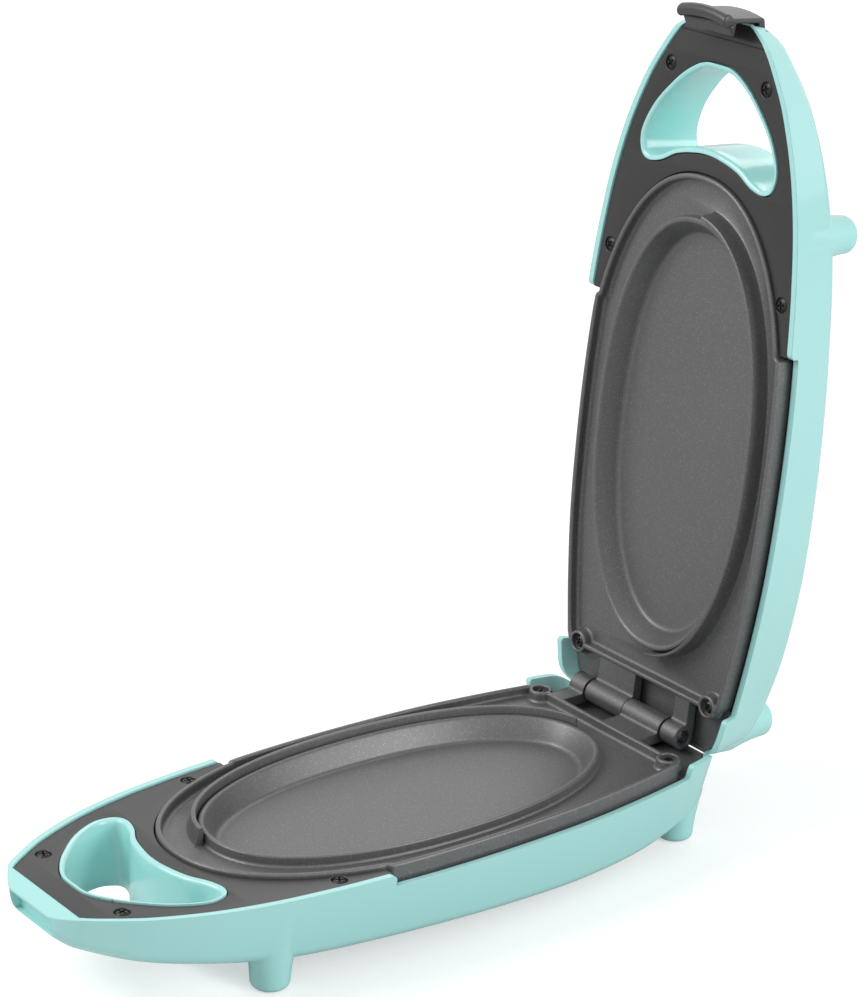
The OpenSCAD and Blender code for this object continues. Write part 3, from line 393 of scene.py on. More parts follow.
def prism(name: str, loop: Sequence[Pair], top: float, bottom: float) -> bpy.types.Object:
    """A flat piece between two depths.

    Args:
        name: Its name.
        loop: Its outline as (x, y).
        top: Depth of its top.
        bottom: Depth of its underside.

    Returns:
        The object, in millimetres.
    """
    return Draft().rings([[(x, y, -bottom) for x, y in loop], [(x, y, -top) for x, y in loop]]).solid(name)


def block(name: str, x: Pair, u: Pair, w: Pair) -> bpy.types.Object:
    """A box.

    Args:
        name: Its name.
        x: Its two sides.
        u: Its rear and its front.
        w: Depths of its top and its underside.

    Returns:
        The object, in millimetres.
    """
    return prism(name, [(x[0], -u[1]), (x[1], -u[1]), (x[1], -u[0]), (x[0], -u[0])], w[0], w[1])


def across(name: str, view: Sequence[Pair], half: float) -> bpy.types.Object:
    """A side view drawn across the body.

    Args:
        name: Its name.
        view: The side view as (u, w).
        half: How far it reaches to each side.

    Returns:
        The object, in millimetres.
    """
    return Draft().rings([[(x, -u, -w) for u, w in view] for x in (-half, half)]).solid(name)


def rounded(corners: Sequence[tuple[float, float, float]], steps: int = 6) -> Loop:
    """A closed outline with rounded corners.

    Args:
        corners: Its corners as (first, second, radius).
        steps: Pieces of each round.

    Returns:
        The outline.
    """
    out, count = [], len(corners)
    for i, (a, b, r) in enumerate(corners):
        here = Vector((a, b))
        if r <= 0:
            out.append((a, b))
            continue
        back, ahead = Vector(corners[i - 1][:2]) - here, Vector(corners[(i + 1) % count][:2]) - here
        cut = min(r / math.tan(back.angle(ahead) / 2), back.length * 0.49, ahead.length * 0.49)
        start, end = here + back.normalized() * cut, here + ahead.normalized() * cut
        for k in range(steps + 1):
            t = k / steps
            spot = start * (1 - t) ** 2 + here * 2 * t * (1 - t) + end * t ** 2
            out.append((spot.x, spot.y))
    return out


def swept(name: str, view: Loop, start: float, end: float, edge: float = 0.3) -> bpy.types.Object:
    """A side view given as (u, w), carried across the body with chamfered ends.

    Args:
        name: Its name.
        view: The side view, going round so that its inside is on the right.
        start: Its first place across the body.
        end: Its last place across the body.
        edge: The ends' chamfer.

    Returns:
        The object, in millimetres.
    """
    small = HalfForm.inset(view, edge)
    rings = [[(x, -u, -w) for u, w in ring] for x, ring in
             ((start, small), (start + edge, view), (end - edge, view), (end, small))]
    return Draft().rings(rings).solid(name)


def rod(radius: float, start: float, end: float) -> Loop:
    """Profile of a plain rod, to be turned.

    Args:
        radius: Its radius.
        start: Its first place along the axis.
        end: Its last place along the axis.

    Returns:
        The profile.
    """
    return [(0, start), (radius, start), (radius, end), (0, end)]


def lathe(name: str, profile: Sequence[Pair], centre: Point, axis: str = "w", steps: int = 48
          ) -> bpy.types.Object:
    """A turned piece.

    Args:
        name: Its name.
        profile: Its outline as (radius, distance along the axis), ends on the axis.
        centre: The axis's start as (x, u, w).
        axis: "w" for downwards or "x" for across the body.
        steps: Faces around.

    Returns:
        The object, in millimetres.
    """
    cx, cy, cz = centre[0], -centre[1], -centre[2]
    rings = []
    for r, d in profile:
        ring = []
        for k in range(steps):
            a = 2 * math.pi * k / steps
            p, q = max(r, 0) * math.cos(a), max(r, 0) * math.sin(a)
            ring.append((cx + p, cy + q, cz - d) if axis == "w" else (cx + d, cy + p, cz + q))
        rings.append(ring)
    return Draft().rings(rings).solid(name)


def combine(body: bpy.types.Object, tool: bpy.types.Object, how: str = "DIFFERENCE") -> bpy.types.Object:
    """Cuts a solid from another, or joins the two.

    Args:
        body: The solid that changes.
        tool: The other solid, which goes.
        how: DIFFERENCE, UNION or INTERSECT.

    Returns:
        The changed solid.
    """
    step = body.modifiers.new("combine", "BOOLEAN")
    step.operation, step.object, step.solver = how, tool, "EXACT"
    graph = bpy.context.evaluated_depsgraph_get()
    mesh = bpy.data.meshes.new_from_object(body.evaluated_get(graph))
    body.modifiers.remove(step)
    old, body.data = body.data, mesh
    bpy.data.meshes.remove(old)
    bpy.data.objects.remove(tool)
    return body


def twin(body: bpy.types.Object, name: str) -> bpy.types.Object:
    """A copy of an object with its own mesh.

    Args:
        body: The object.
        name: The copy's name.

    Returns:
        The copy.
    """
    return in_scene(name, body.data.copy())


def finished(body: bpy.types.Object, name: str, side: Side, finish: Finish, ride: str, nodes: Sequence[str]) -> None:
    """Places a piece in the row frame and hands it over.

    Args:
        body: The piece, in its half's millimetres.
        name: Its name.
        side: Its half.
        finish: Its finish.
        ride: The body it moves with.
        nodes: The CAD nodes it stands for.
    """
    body.name = name
    mesh = body.data
    mesh.transform(STANCE.place(side))
    mesh.materials.clear()
    mesh.materials.append(finish.material())
    mesh.shade_smooth()
    mesh.set_sharp_from_angle(angle=math.radians(SHARP))
    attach(body, ride)
    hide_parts(*nodes)
    LOG.info("%s: %d faces on %s", name, len(mesh.polygons), ride)


# The shared form


@dataclass(frozen=True)
class HalfForm:
    """Sizes that both halves share, in millimetres."""

    reach: float = 305.0
    nose_tip: float = 7.6
    overhang: float = 6.8
    half_w: float = 67.8
    depth: float = 42.3
    wall: float = 2.9
    corner_r: float = 9.0
    draft: float = 0.3
    rim_level: float = 2.0
    stand_h: float = 46.7
    nose_rim: float = 1.4
    nose_drop: float = 2.1
    side_rim: float = 7.3
    cheek_rim: float = 0.35
    cheek_front: float = 16.2
    cheek_r: float = 12.0
    shoulder: float = 181.0
    notch_r: float = 3.0
    rear_gap: float = 42.5
    deck_w: float = 9.2
    deck_t: float = 2.3
    deck_front: float = 24.0
    stop_gap: float = 0.3
    panel_top: float = 2.0
    panel_t: float = 2.4
    panel_gap: float = 0.35
    plate_gap: float = 0.5
    hole_half: float = 42.4
    hole_len: float = 48.3
    grip_bar: float = 12.0
    collar_t: float = 2.3
    plate_inset: float = 6.3
    plate_rear: float = 16.7
    lip_top: float = 0.3
    lip_w: float = 2.4
    floor_top: float = 5.0
    skirt_w: float = 8.6
    cavity_u: float = 129.0
    cavity_a: float = 91.0
    cavity_b: float = 42.4
    cavity_w: float = 10.0
    rim_out: float = 6.8
    cavity_power: float = 2.2
    cast_t: float = 2.6
    shoulder_gap: float = 0.6
    bend_reach: float = 3.0
    bend_r: float = 3.0
    bend_turn: float = 62.0
    bend_pull: float = 1.6
    rear_corner: float = 4.0
    rear_cut: float = 1.2
    nose_a: float = 116.3
    nose_b: float = 62.5
    sharpness: float = 2.2
    corner_u: float = 18.4
    corner_x: float = 43.8
    screw_front: float = 16.8
    screw_front_x: float = 29.8
    screw_rear: float = 21.3
    screw_rear_x: float = 54.9
    rim_shape: Rows = (
        (-1, 0.53), (-0.7, 0.64), (-0.35, 0.715), (0, 0.767), (0.02, 0.811), (0.079, 0.864), (0.151, 0.917),
        (0.243, 0.968), (0.328, 0.991), (0.43, 1), (0.525, 0.99), (0.623, 0.959), (0.685, 0.932),
        (0.769, 0.875), (0.8475, 0.785), (0.921, 0.652), (0.963, 0.541), (1, 0.42), (1.4, 0.355),
        (1.8, 0.28), (2, 0.223))
    keel_shape: Rows = (
        (-1, 0.58), (-0.3, 0.675), (0.0165, 0.77), (0.062, 0.898), (0.115, 0.976), (0.203, 1), (0.328, 0.974),
        (0.492, 0.913), (0.656, 0.856), (0.738, 0.811), (0.82, 0.723), (0.902, 0.62), (0.951, 0.53),
        (1, 0.4), (1.5, 0.345), (2, 0.26))
    hole_shape: Rows = (
        (0.8, 0), (0.815, 0.19), (0.87, 0.45), (0.965, 0.66), (1, 0.85), (0.935, 0.975), (0.745, 1),
        (0.476, 0.849), (0.228, 0.59), (0.09, 0.389), (0.012, 0.2), (0, 0))

    @property
    def tip_u(self) -> float:
        """Distance from the hinge axis to the tip of the nose."""
        return self.reach + self.nose_tip

    def along(self, s: float) -> float:
        """A place along the body.

        Args:
            s: -1 for the rear wall, 0 for the hinge axis, 1 for the panel's front edge, 2 for the tip.

        Returns:
            Its distance from the hinge axis.
        """
        if s < 0:
            return s * self.overhang
        return s * self.reach if s <= 1 else self.reach + (s - 1) * self.nose_tip

    def panel_screws(self) -> Loop:
        """Places of a panel's screws on the right as (x, u), front to rear."""
        return [(self.screw_front_x, self.reach - self.screw_front),
                (self.screw_rear_x, self.shoulder + self.screw_rear)]

    @staticmethod
    def smooth(table: Sequence[Pair], x: float) -> float:
        """The smooth curve through a table.

        Args:
            table: Its rows as (x, y).
            x: The place.

        Returns:
            The curve's y there.
        """
        last = len(table) - 2
        i = 0
        while i < last and x >= table[i + 1][0]:
            i += 1

        def rise(k: int) -> float:
            """The curve's slope at a row of the table."""
            a, b = table[max(k - 1, 0)], table[min(k + 1, len(table) - 1)]
            return (b[1] - a[1]) / (b[0] - a[0])

        h = table[i + 1][0] - table[i][0]
        t = (x - table[i][0]) / h
        p, q, m, n = table[i][1], table[i + 1][1], rise(i) * h, rise(i + 1) * h
        return ((2 * t ** 3 - 3 * t ** 2 + 1) * p + (t ** 3 - 2 * t ** 2 + t) * m
                + (3 * t ** 2 - 2 * t ** 3) * q + (t ** 3 - t ** 2) * n)

    def rim_x(self, u: float) -> float:
        """Half width of the shell's rim at u."""
        return self.smooth([(self.along(s), v * self.half_w) for s, v in self.rim_shape], u)

    def keel_w(self, u: float) -> float:
        """Depth of the shell's underside at u."""
        return self.smooth([(self.along(s), v * self.depth) for s, v in self.keel_shape], u)

    def nose_arc(self, start: float, g: float, steps: int) -> Loop:
        """Half of the plate's round nose.

        Args:
            start: Where it starts.
            g: How far it is grown.
            steps: Its pieces.

        Returns:
            The curve from there to its tip as (x, u).
        """
        low = math.asin(((start - self.cavity_u) / (self.nose_a + g)) ** (self.sharpness / 2))
        points = []
        for k in range(steps + 1):
            t = low + (math.pi / 2 - low) * k / steps
            points.append(((self.nose_b + g) * max(math.cos(t), 0) ** (2 / self.sharpness),
                           self.cavity_u + (self.nose_a + g) * math.sin(t) ** (2 / self.sharpness)))
        return points

    @staticmethod
    def both_sides(half: Sequence[Pair]) -> Loop:
        """A closed outline as (x, y) from its half as (x, u), rear to nose."""
        return [(x, -u) for x, u in half] + [(-x, -u) for x, u in reversed(half) if x > ON_AXIS]

    @staticmethod
    def inset(loop: Sequence[Pair], t: float) -> Loop:
        """An outline moved inwards.

        Args:
            loop: The outline.
            t: How far.

        Returns:
            The moved outline.
        """
        n, out = len(loop), []
        for i in range(n):
            a, b = loop[i - 1], loop[(i + 1) % n]
            d = (b[0] - a[0], b[1] - a[1])
            size = math.hypot(*d) or 1.0
            out.append((loop[i][0] + d[1] * t / size, loop[i][1] - d[0] * t / size))
        return out

    def plate_outline(self, t: float) -> Loop:
        """Outline of the cooking plate inset by t, with a soft bend at the shoulder.

        Args:
            t: The inset.

        Returns:
            The outline, with as many points at every inset.
        """
        inn, top, r = self.plate_inset + t, self.shoulder - self.shoulder_gap - t, max(self.bend_r - t, 1)
        x, corner, cut = self.rim_x(top) - inn, self.rear_corner, self.rear_cut
        start, end = self.plate_rear + corner, top - r - corner
        half = [(self.rim_x(start) - inn - corner + t, self.plate_rear + t),
                (self.rim_x(start) - inn - cut, self.plate_rear + cut + t)]
        for k in range(25):
            u = start + t + (end - start - t) * k / 24
            half.append((self.rim_x(u) - inn, u))
        turn = math.radians(self.bend_turn)
        half += [(x - r + r * math.cos(a), top - r + r * math.sin(a)) for a in np.linspace(0, turn, 7)]
        nose = self.nose_arc(top + self.bend_reach, -t, 36)
        a, d = Vector(half[-1]), Vector(nose[0])
        b = a + Vector((-math.sin(turn), math.cos(turn))) * self.bend_pull
        c = d - (Vector(nose[1]) - d).normalized() * self.bend_pull
        for k in range(1, 8):
            s = k / 8
            spot = a * (1 - s) ** 3 + b * 3 * s * (1 - s) ** 2 + c * 3 * s * s * (1 - s) + d * s ** 3
            half.append((spot.x, spot.y))
        return self.both_sides(half + nose)

    def panel_outline(self, t: float) -> Loop:
        """Outline of the panel's bed inset by t, its front and rear edges straight.

        Args:
            t: The inset.

        Returns:
            The outline.
        """
        places = (self.shoulder + t + (self.reach - self.shoulder - 2 * t) * math.sin(a)
                  for a in np.linspace(0, math.pi / 2, 40))
        return self.both_sides([(self.rim_x(u) - self.wall - t, u) for u in places])

    def hole_outline(self, steps: int = 8) -> Loop:
        """Outline of the collar round the handle hole.

        Args:
            steps: Pieces between two places of its table.

        Returns:
            The outline.
        """
        p = self.both_sides([(v * self.hole_half, self.reach - self.grip_bar - self.hole_len * s)
                             for s, v in self.hole_shape])
        m, out = len(p), []
        for i in range(m):
            a, b, c, d = (np.array(p[(i + j) % m]) for j in (-1, 0, 1, 2))
            for k in range(steps):
                t = k / steps
                spot = 2 * b + (c - a) * t + (2 * a - 5 * b + 4 * c - d) * t * t
                spot = (spot + (3 * b - 3 * c + d - a) * t ** 3) / 2
                out.append((float(spot[0]), float(spot[1])))
        return out

    def oval_point(self, g: float, w: float, turn: float) -> Point:
        """A point g outside the oval of the cavity's bottom.

        Args:
            g: The distance outside the oval.
            w: The depth.
            turn: Where on the oval, in radians from its right end towards the nose.

        Returns:
            The point.
        """
        c, d = math.cos(turn), math.sin(turn)
        power = 2 / self.cavity_power
        return ((self.cavity_b + g) * math.copysign(abs(c) ** power, c),
                -self.cavity_u - (self.cavity_a + g) * math.copysign(abs(d) ** power, d), -w)

    def oval(self, g: float, w: float, steps: int = 128) -> list[Point]:
        """A ring round the cavity, g outside the oval of its bottom, at depth w.

        Args:
            g: The distance outside the oval.
            w: The depth.
            steps: Points of the ring.

        Returns:
            The ring.
        """
        return [self.oval_point(g, w, 2 * math.pi * k / steps) for k in range(steps)]


# Shells


@dataclass
class Shells:
    """The glossy casings of both halves."""

    form: HalfForm = field(default_factory=HalfForm)
    stations: int = 110
    creases: tuple[float, ...] = (-0.7, -0.35, 0, 0.01, 0.02, 1, 1.4, 1.75)
    corner_share: float = 0.45
    least_corner: float = 1.0
    nose_fill: float = 2.0
    foot_tip_r: float = 8.3
    foot_root_r: float = 9.4
    foot_round: float = 3.0
    foot_flare: float = 2.6
    flare_shares: Point = (0.35, 0.4, 0.6)
    foot_bend_w: float = 24.0
    foot_start_w: float = 14.0
    foot_steps: int = 56
    feet: Rows = ((43.7, 227.5), (33.7, 2.8))
    pocket_half: float = 15.5
    pocket_u: float = 307.2
    pocket_w: Pair = (4.5, 13.5)
    latch_pin_u: float = 309.0
    latch_pin_w: float = 9.2
    hole_lip: Rows = ((0.45, 0.0), (1.1, 0.12), (1.7, 0.45), (2.1, 0.95))
    hole_lip_h: float = 1.6
    hole_taper: float = 0.5
    lobe_close: float = 0.1
    step_fillet: float = 1.6
    step_round: float = 1.6
    inlet_w: float = 17.0
    inlet_d: float = 8.7
    neck_cut: float = 1.5
    barrel_room_r: float = 3.3
    latch_bore_r: float = 1.55
    latch_bore_half: float = 18.2
    lamp_u: float = 238.0
    lamp_x: float = 9.0
    lens_hole_r: float = 3.15

    def section(self, u: float, t: float, top: float) -> list[Point]:
        """Cross section of a shell.

        Args:
            u: Its place along the body.
            t: How far it is inset.
            top: Depth of its rims.

        Returns:
            The section, from the right rim round to the left one.
        """
        f = self.form
        b, d = f.rim_x(u) - t, f.keel_w(u) - t
        r = max(min(f.corner_r, self.corner_share * f.keel_w(u)) - t, self.least_corner)
        slant, start = math.sqrt(1 + f.draft ** 2), math.atan(f.draft)
        x = b - f.draft * (d - r - f.rim_level) - r * slant
        turn = [a for a in np.linspace(start, start + math.pi / 2, 15) if a <= math.pi / 2]
        half = [(b - f.draft * (top - f.rim_level), top)]
        half += [(x + r * math.cos(a), d - r + r * math.sin(a)) for a in turn] + [(x, d)]
        return [(px, -u, -w) for px, w in half] + [(-px, -u, -w) for px, w in reversed(half)]

    def boat(self, name: str, start: float, end: float, t: float, top: float) -> bpy.types.Object:
        """A boat-shaped solid.

        Args:
            name: Its name.
            start: Its rear end.
            end: Its front end.
            t: How far it is inset.
            top: Depth of its top.

        Returns:
            The object, in millimetres.
        """
        f = self.form
        places = set(np.linspace(start, end, self.stations))
        places |= {f.along(s) for s in self.creases if start < f.along(s) < end}
        return Draft().rings([self.section(u, t, top) for u in sorted(places)]).solid(name)

    def rim_view(self) -> Loop:
        """Side view of what is cut away above the rims.

        Returns:
            The outline as (u, w), from the nose back over the step to the cheek.
        """
        f, q, p, n = self.form, self.step_fillet, self.step_round, self.form.notch_r
        half_open = math.radians(STANCE.open_angle / 2)
        drop = f.cheek_rim + f.cheek_r
        c = (f.cheek_r + f.stop_gap / 2 - drop * math.cos(half_open)) / math.sin(half_open)
        rear = min(c - f.cheek_r, -f.overhang) - PAST
        back = [math.radians(v) for v in np.linspace(270, 180, 15)]
        quarter = list(np.linspace(0, math.pi / 2, 6))
        slope = f.nose_drop / f.nose_tip
        view = [(f.tip_u + PAST, -PAST), (f.tip_u + PAST, f.nose_rim + f.nose_drop + slope * PAST),
                (f.reach, f.nose_rim)]
        view += [(f.shoulder + n + n * math.cos(v), f.nose_rim + n + n * math.sin(v)) for v in back]
        view += [(f.shoulder - q * (1 - math.cos(v)), f.side_rim - q + q * math.sin(v)) for v in quarter]
        view += [(f.cheek_front + q * (1 - math.cos(v)), f.side_rim - q + q * math.sin(v))
                 for v in quarter[::-1]]
        view += [(f.cheek_front - p + p * math.cos(v), f.cheek_rim + p - p * math.sin(v)) for v in quarter]
        view += [(c + f.cheek_r * math.cos(v), drop + f.cheek_r * math.sin(v)) for v in back]
        return view + [(rear, drop), (rear, -PAST)]

    def foot(self, x: float, u: float) -> bpy.types.Object:
        """A foot with a rounded tip, flared towards the hinge.

        Args:
            x: Its place across the body.
            u: Its place along the body.

        Returns:
            The object, in millimetres.
        """
        low, tip, root, edge = self.form.stand_h, self.foot_tip_r, self.foot_root_r, self.foot_round
        levels = [(tip - edge + edge * math.sin(a), low - edge * (1 - math.cos(a)), 0.0)
                  for a in np.linspace(0, math.pi / 2, 9)]
        levels += [(tip + (root - tip) * s, low - edge - (low - edge - self.foot_bend_w) * s,
                    self.foot_flare * s * s) for s in np.linspace(0.1, 1, 8)]
        levels.append((root, self.foot_start_w, self.foot_flare))
        wide, lean, long = self.flare_shares
        turn = [2 * math.pi * k / self.foot_steps for k in range(self.foot_steps)]
        rings = [[(x + (r + e * wide) * math.cos(a), -u + e * lean + (r + e * long) * math.sin(a), -w)
                  for a in turn] for r, w, e in levels]
        return Draft().rings(rings).solid("foot")

    def hollow(self) -> bpy.types.Object:
        """What a shell is hollow with.

        Returns:
            The object, in millimetres.
        """
        f = self.form
        room = self.boat("room", f.wall - f.overhang, f.reach - self.nose_fill, f.wall, -2 * PAST)
        gap, under = f.rear_gap + f.wall, f.deck_w + f.deck_t
        combine(room, block("deck", (-gap, gap), (-f.overhang, f.deck_front), (f.deck_w, under)))
        for side in (1, -1):
            inner, outer = side * f.rear_gap, side * (f.half_w + f.rear_gap)
            combine(room, block("cheek", (min(inner, outer), max(inner, outer)),
                                (-f.overhang - PAST, f.cheek_front), (-PAST, under)))
        return combine(room, prism("collar", f.hole_outline(), 0, f.stand_h))

    def casing(self) -> bpy.types.Object:
        """One shell without what only one half has.

        Returns:
            The object, in millimetres.
        """
        f, wide = self.form, self.form.half_w + 4 * PAST
        shell = self.boat("casing", -f.overhang, f.tip_u, 0, -PAST)
        for x, u in self.feet:
            for side in (1, -1):
                combine(shell, self.foot(side * x, u), "UNION")
        combine(shell, self.hollow())
        combine(shell, across("above_rims", self.rim_view(), wide))
        combine(shell, block("above_deck", (-f.rear_gap, f.rear_gap), (-f.overhang - PAST, f.deck_front),
                             (-PAST, f.deck_w)))
        cheeks = self.boat("cheek_room", f.wall - f.overhang, f.deck_front, f.wall, -2 * PAST)
        above = block("above", (-wide, wide), (-wide, wide), (-3 * PAST, f.deck_w))
        combine(shell, combine(cheeks, above, "INTERSECT"))
        bed = prism("panel_bed", f.panel_outline(0), -PAST, f.panel_top + f.panel_t)
        combine(bed, prism("collar_rim", f.hole_outline(), -2 * PAST, f.stand_h))
        combine(shell, bed)
        combine(shell, self.grip_hole())
        return combine(shell, block("pocket", (-self.pocket_half, self.pocket_half),
                                    (self.pocket_u, f.tip_u + PAST), self.pocket_w))

    def grip_hole(self) -> bpy.types.Object:
        """The handle hole, with a rounded lip and lobes that close in towards the far side.

        Returns:
            The object, in millimetres.
        """
        f, top = self.form, self.form.nose_rim
        start = top + self.hole_lip_h
        levels = [(self.hole_lip[0][0], -PAST, 0.0)] + [(t, top + w, 0.0) for t, w in self.hole_lip]
        levels.append((f.collar_t, start, 0.0))
        levels += [(f.collar_t + self.hole_taper * s, start + (f.stand_h - start) * s, self.lobe_close * s)
                   for s in np.linspace(0.1, 1.05, 12)]
        rings = [[(x * (1 - close * (abs(x) / f.hole_half) ** 2), y, -w)
                  for x, y in f.inset(f.hole_outline(), t)] for t, w, close in levels]
        return Draft().rings(rings).solid("grip_hole")

    def build(self) -> None:
        """Makes both shells."""
        f, base = self.form, self.casing()
        lid = twin(base, "lid_casing")
        h, c = self.inlet_d / 2, self.inlet_d / 2 - self.neck_cut
        neck = [(h, -c), (h, c), (c, h), (-c, h), (-h, c), (-h, -c), (-c, -h), (c, -h)]
        combine(base, Draft().rings([[(x, y, z - self.inlet_w) for x, z in neck] for y in
                                     (f.overhang + PAST, f.overhang - f.wall - PAST)]).solid("inlet"))
        pivot = (0, self.latch_pin_u, self.latch_pin_w)
        for radius, half in ((self.barrel_room_r, self.pocket_half),
                             (self.latch_bore_r, self.latch_bore_half)):
            combine(lid, lathe("bore", rod(radius, -half, half), pivot, "x"))
        combine(lid, NosePanels().apron(0, -3 * PAST, f.panel_top + f.panel_t))
        low = f.keel_w(self.lamp_u)
        for side in (1, -1):
            combine(lid, lathe("lens_hole", rod(self.lens_hole_r, low - f.wall - 2 * PAST, low + 2 * PAST),
                               (side * self.lamp_x, self.lamp_u, 0)))
        finished(base, "base_casing", Side.BASE, Finishes.MINT, "base", ["base_shell"])
        finished(lid, "lid_casing", Side.LID, Finishes.MINT, "lid", ["lid_shell"])


# Panels


@dataclass
class NosePanels:
    """The dark panels round both handle holes."""

    form: HalfForm = field(default_factory=HalfForm)
    edge_r: float = 0.45
    recess_d: float = 6.7
    recess_h: float = 1.2
    recess_edge: float = 0.25
    bore_d: float = 3.3
    apron_start: float = 1.2
    apron_end: float = 311.9

    def outer(self, t: float) -> Loop:
        """The panel's outline: along the rim, then back round the plate's nose.

        Args:
            t: How far it is inset.

        Returns:
            The outline.
        """
        f = self.form
        rim = f.panel_outline(f.panel_gap)
        nose = f.nose_arc(-rim[0][1], f.plate_gap, 40)
        back = [(-x, -u) for x, u in nose] + [(x, -u) for x, u in reversed(nose) if x > ON_AXIS]
        return f.inset(rim + back, t)

    def slab(self) -> bpy.types.Object:
        """The panel with its top edges rounded, before its screw recesses.

        Returns:
            The object, in millimetres.
        """
        f, r, hole = self.form, self.edge_r, self.form.hole_outline()
        levels = [(0.0, f.panel_top + f.panel_t)]
        levels += [(r - r * math.cos(a), f.panel_top + r - r * math.sin(a))
                   for a in np.linspace(0, math.pi / 2, 5)]
        draft = Draft()
        walls = ([[(x, y, -w) for x, y in self.outer(t)] for t, w in levels],
                 [[(x, y, -w) for x, y in f.inset(hole, -f.panel_gap - t)] for t, w in levels])
        for wall in walls:
            draft.rings(wall, caps=False)
        for end in (0, -1):
            loops = [[Vector(p) for p in wall[end]] for wall in walls]
            flat = [tuple(p) for loop in loops for p in loop]
            draft.add(flat, [tuple(t) for t in tessellate_polygon(loops)])
        return draft.solid("panel")

    def apron(self, gap: float, top: float, low: float) -> bpy.types.Object:
        """The strip between the lid's panel and its clip, sloping with the nose.

        Args:
            gap: What it stays inside the casing's rim.
            top: Depth of its top at the panel.
            low: Depth of its underside.

        Returns:
            The object, in millimetres.
        """
        f = self.form
        rings = []
        for u in np.linspace(f.reach - self.apron_start, self.apron_end - gap, 8):
            x = f.rim_x(u) - f.wall - gap
            fall = top + f.nose_drop * max(u - f.reach, 0) / f.nose_tip
            rings.append([(x, -u, -low), (x, -u, -fall), (-x, -u, -fall), (-x, -u, -low)])
        return Draft().rings(rings).solid("apron")

    def build(self) -> None:
        """Makes both panels."""
        f, panel = self.form, self.slab()
        big, small, edge = self.recess_d / 2, self.bore_d / 2, self.recess_edge
        profile = [(0, -PAST), (big + edge, -PAST), (big + edge, 0), (big, edge), (big, self.recess_h),
                   (small, self.recess_h), (small, f.panel_t + PAST), (0, f.panel_t + PAST)]
        for x, u in f.panel_screws():
            for side in (1, -1):
                combine(panel, lathe("recess", profile, (side * x, u, f.panel_top)))
        lid = twin(panel, "lid_panel")
        combine(lid, self.apron(f.panel_gap, f.panel_top, f.panel_top + f.panel_t), "UNION")
        finished(panel, "base_handle_panel", Side.BASE, Finishes.CHARCOAL, "base", ["base_nose_panel"])
        finished(lid, "lid_handle_panel", Side.LID, Finishes.CHARCOAL, "lid", ["lid_nose_panel"])


# Cooking plates


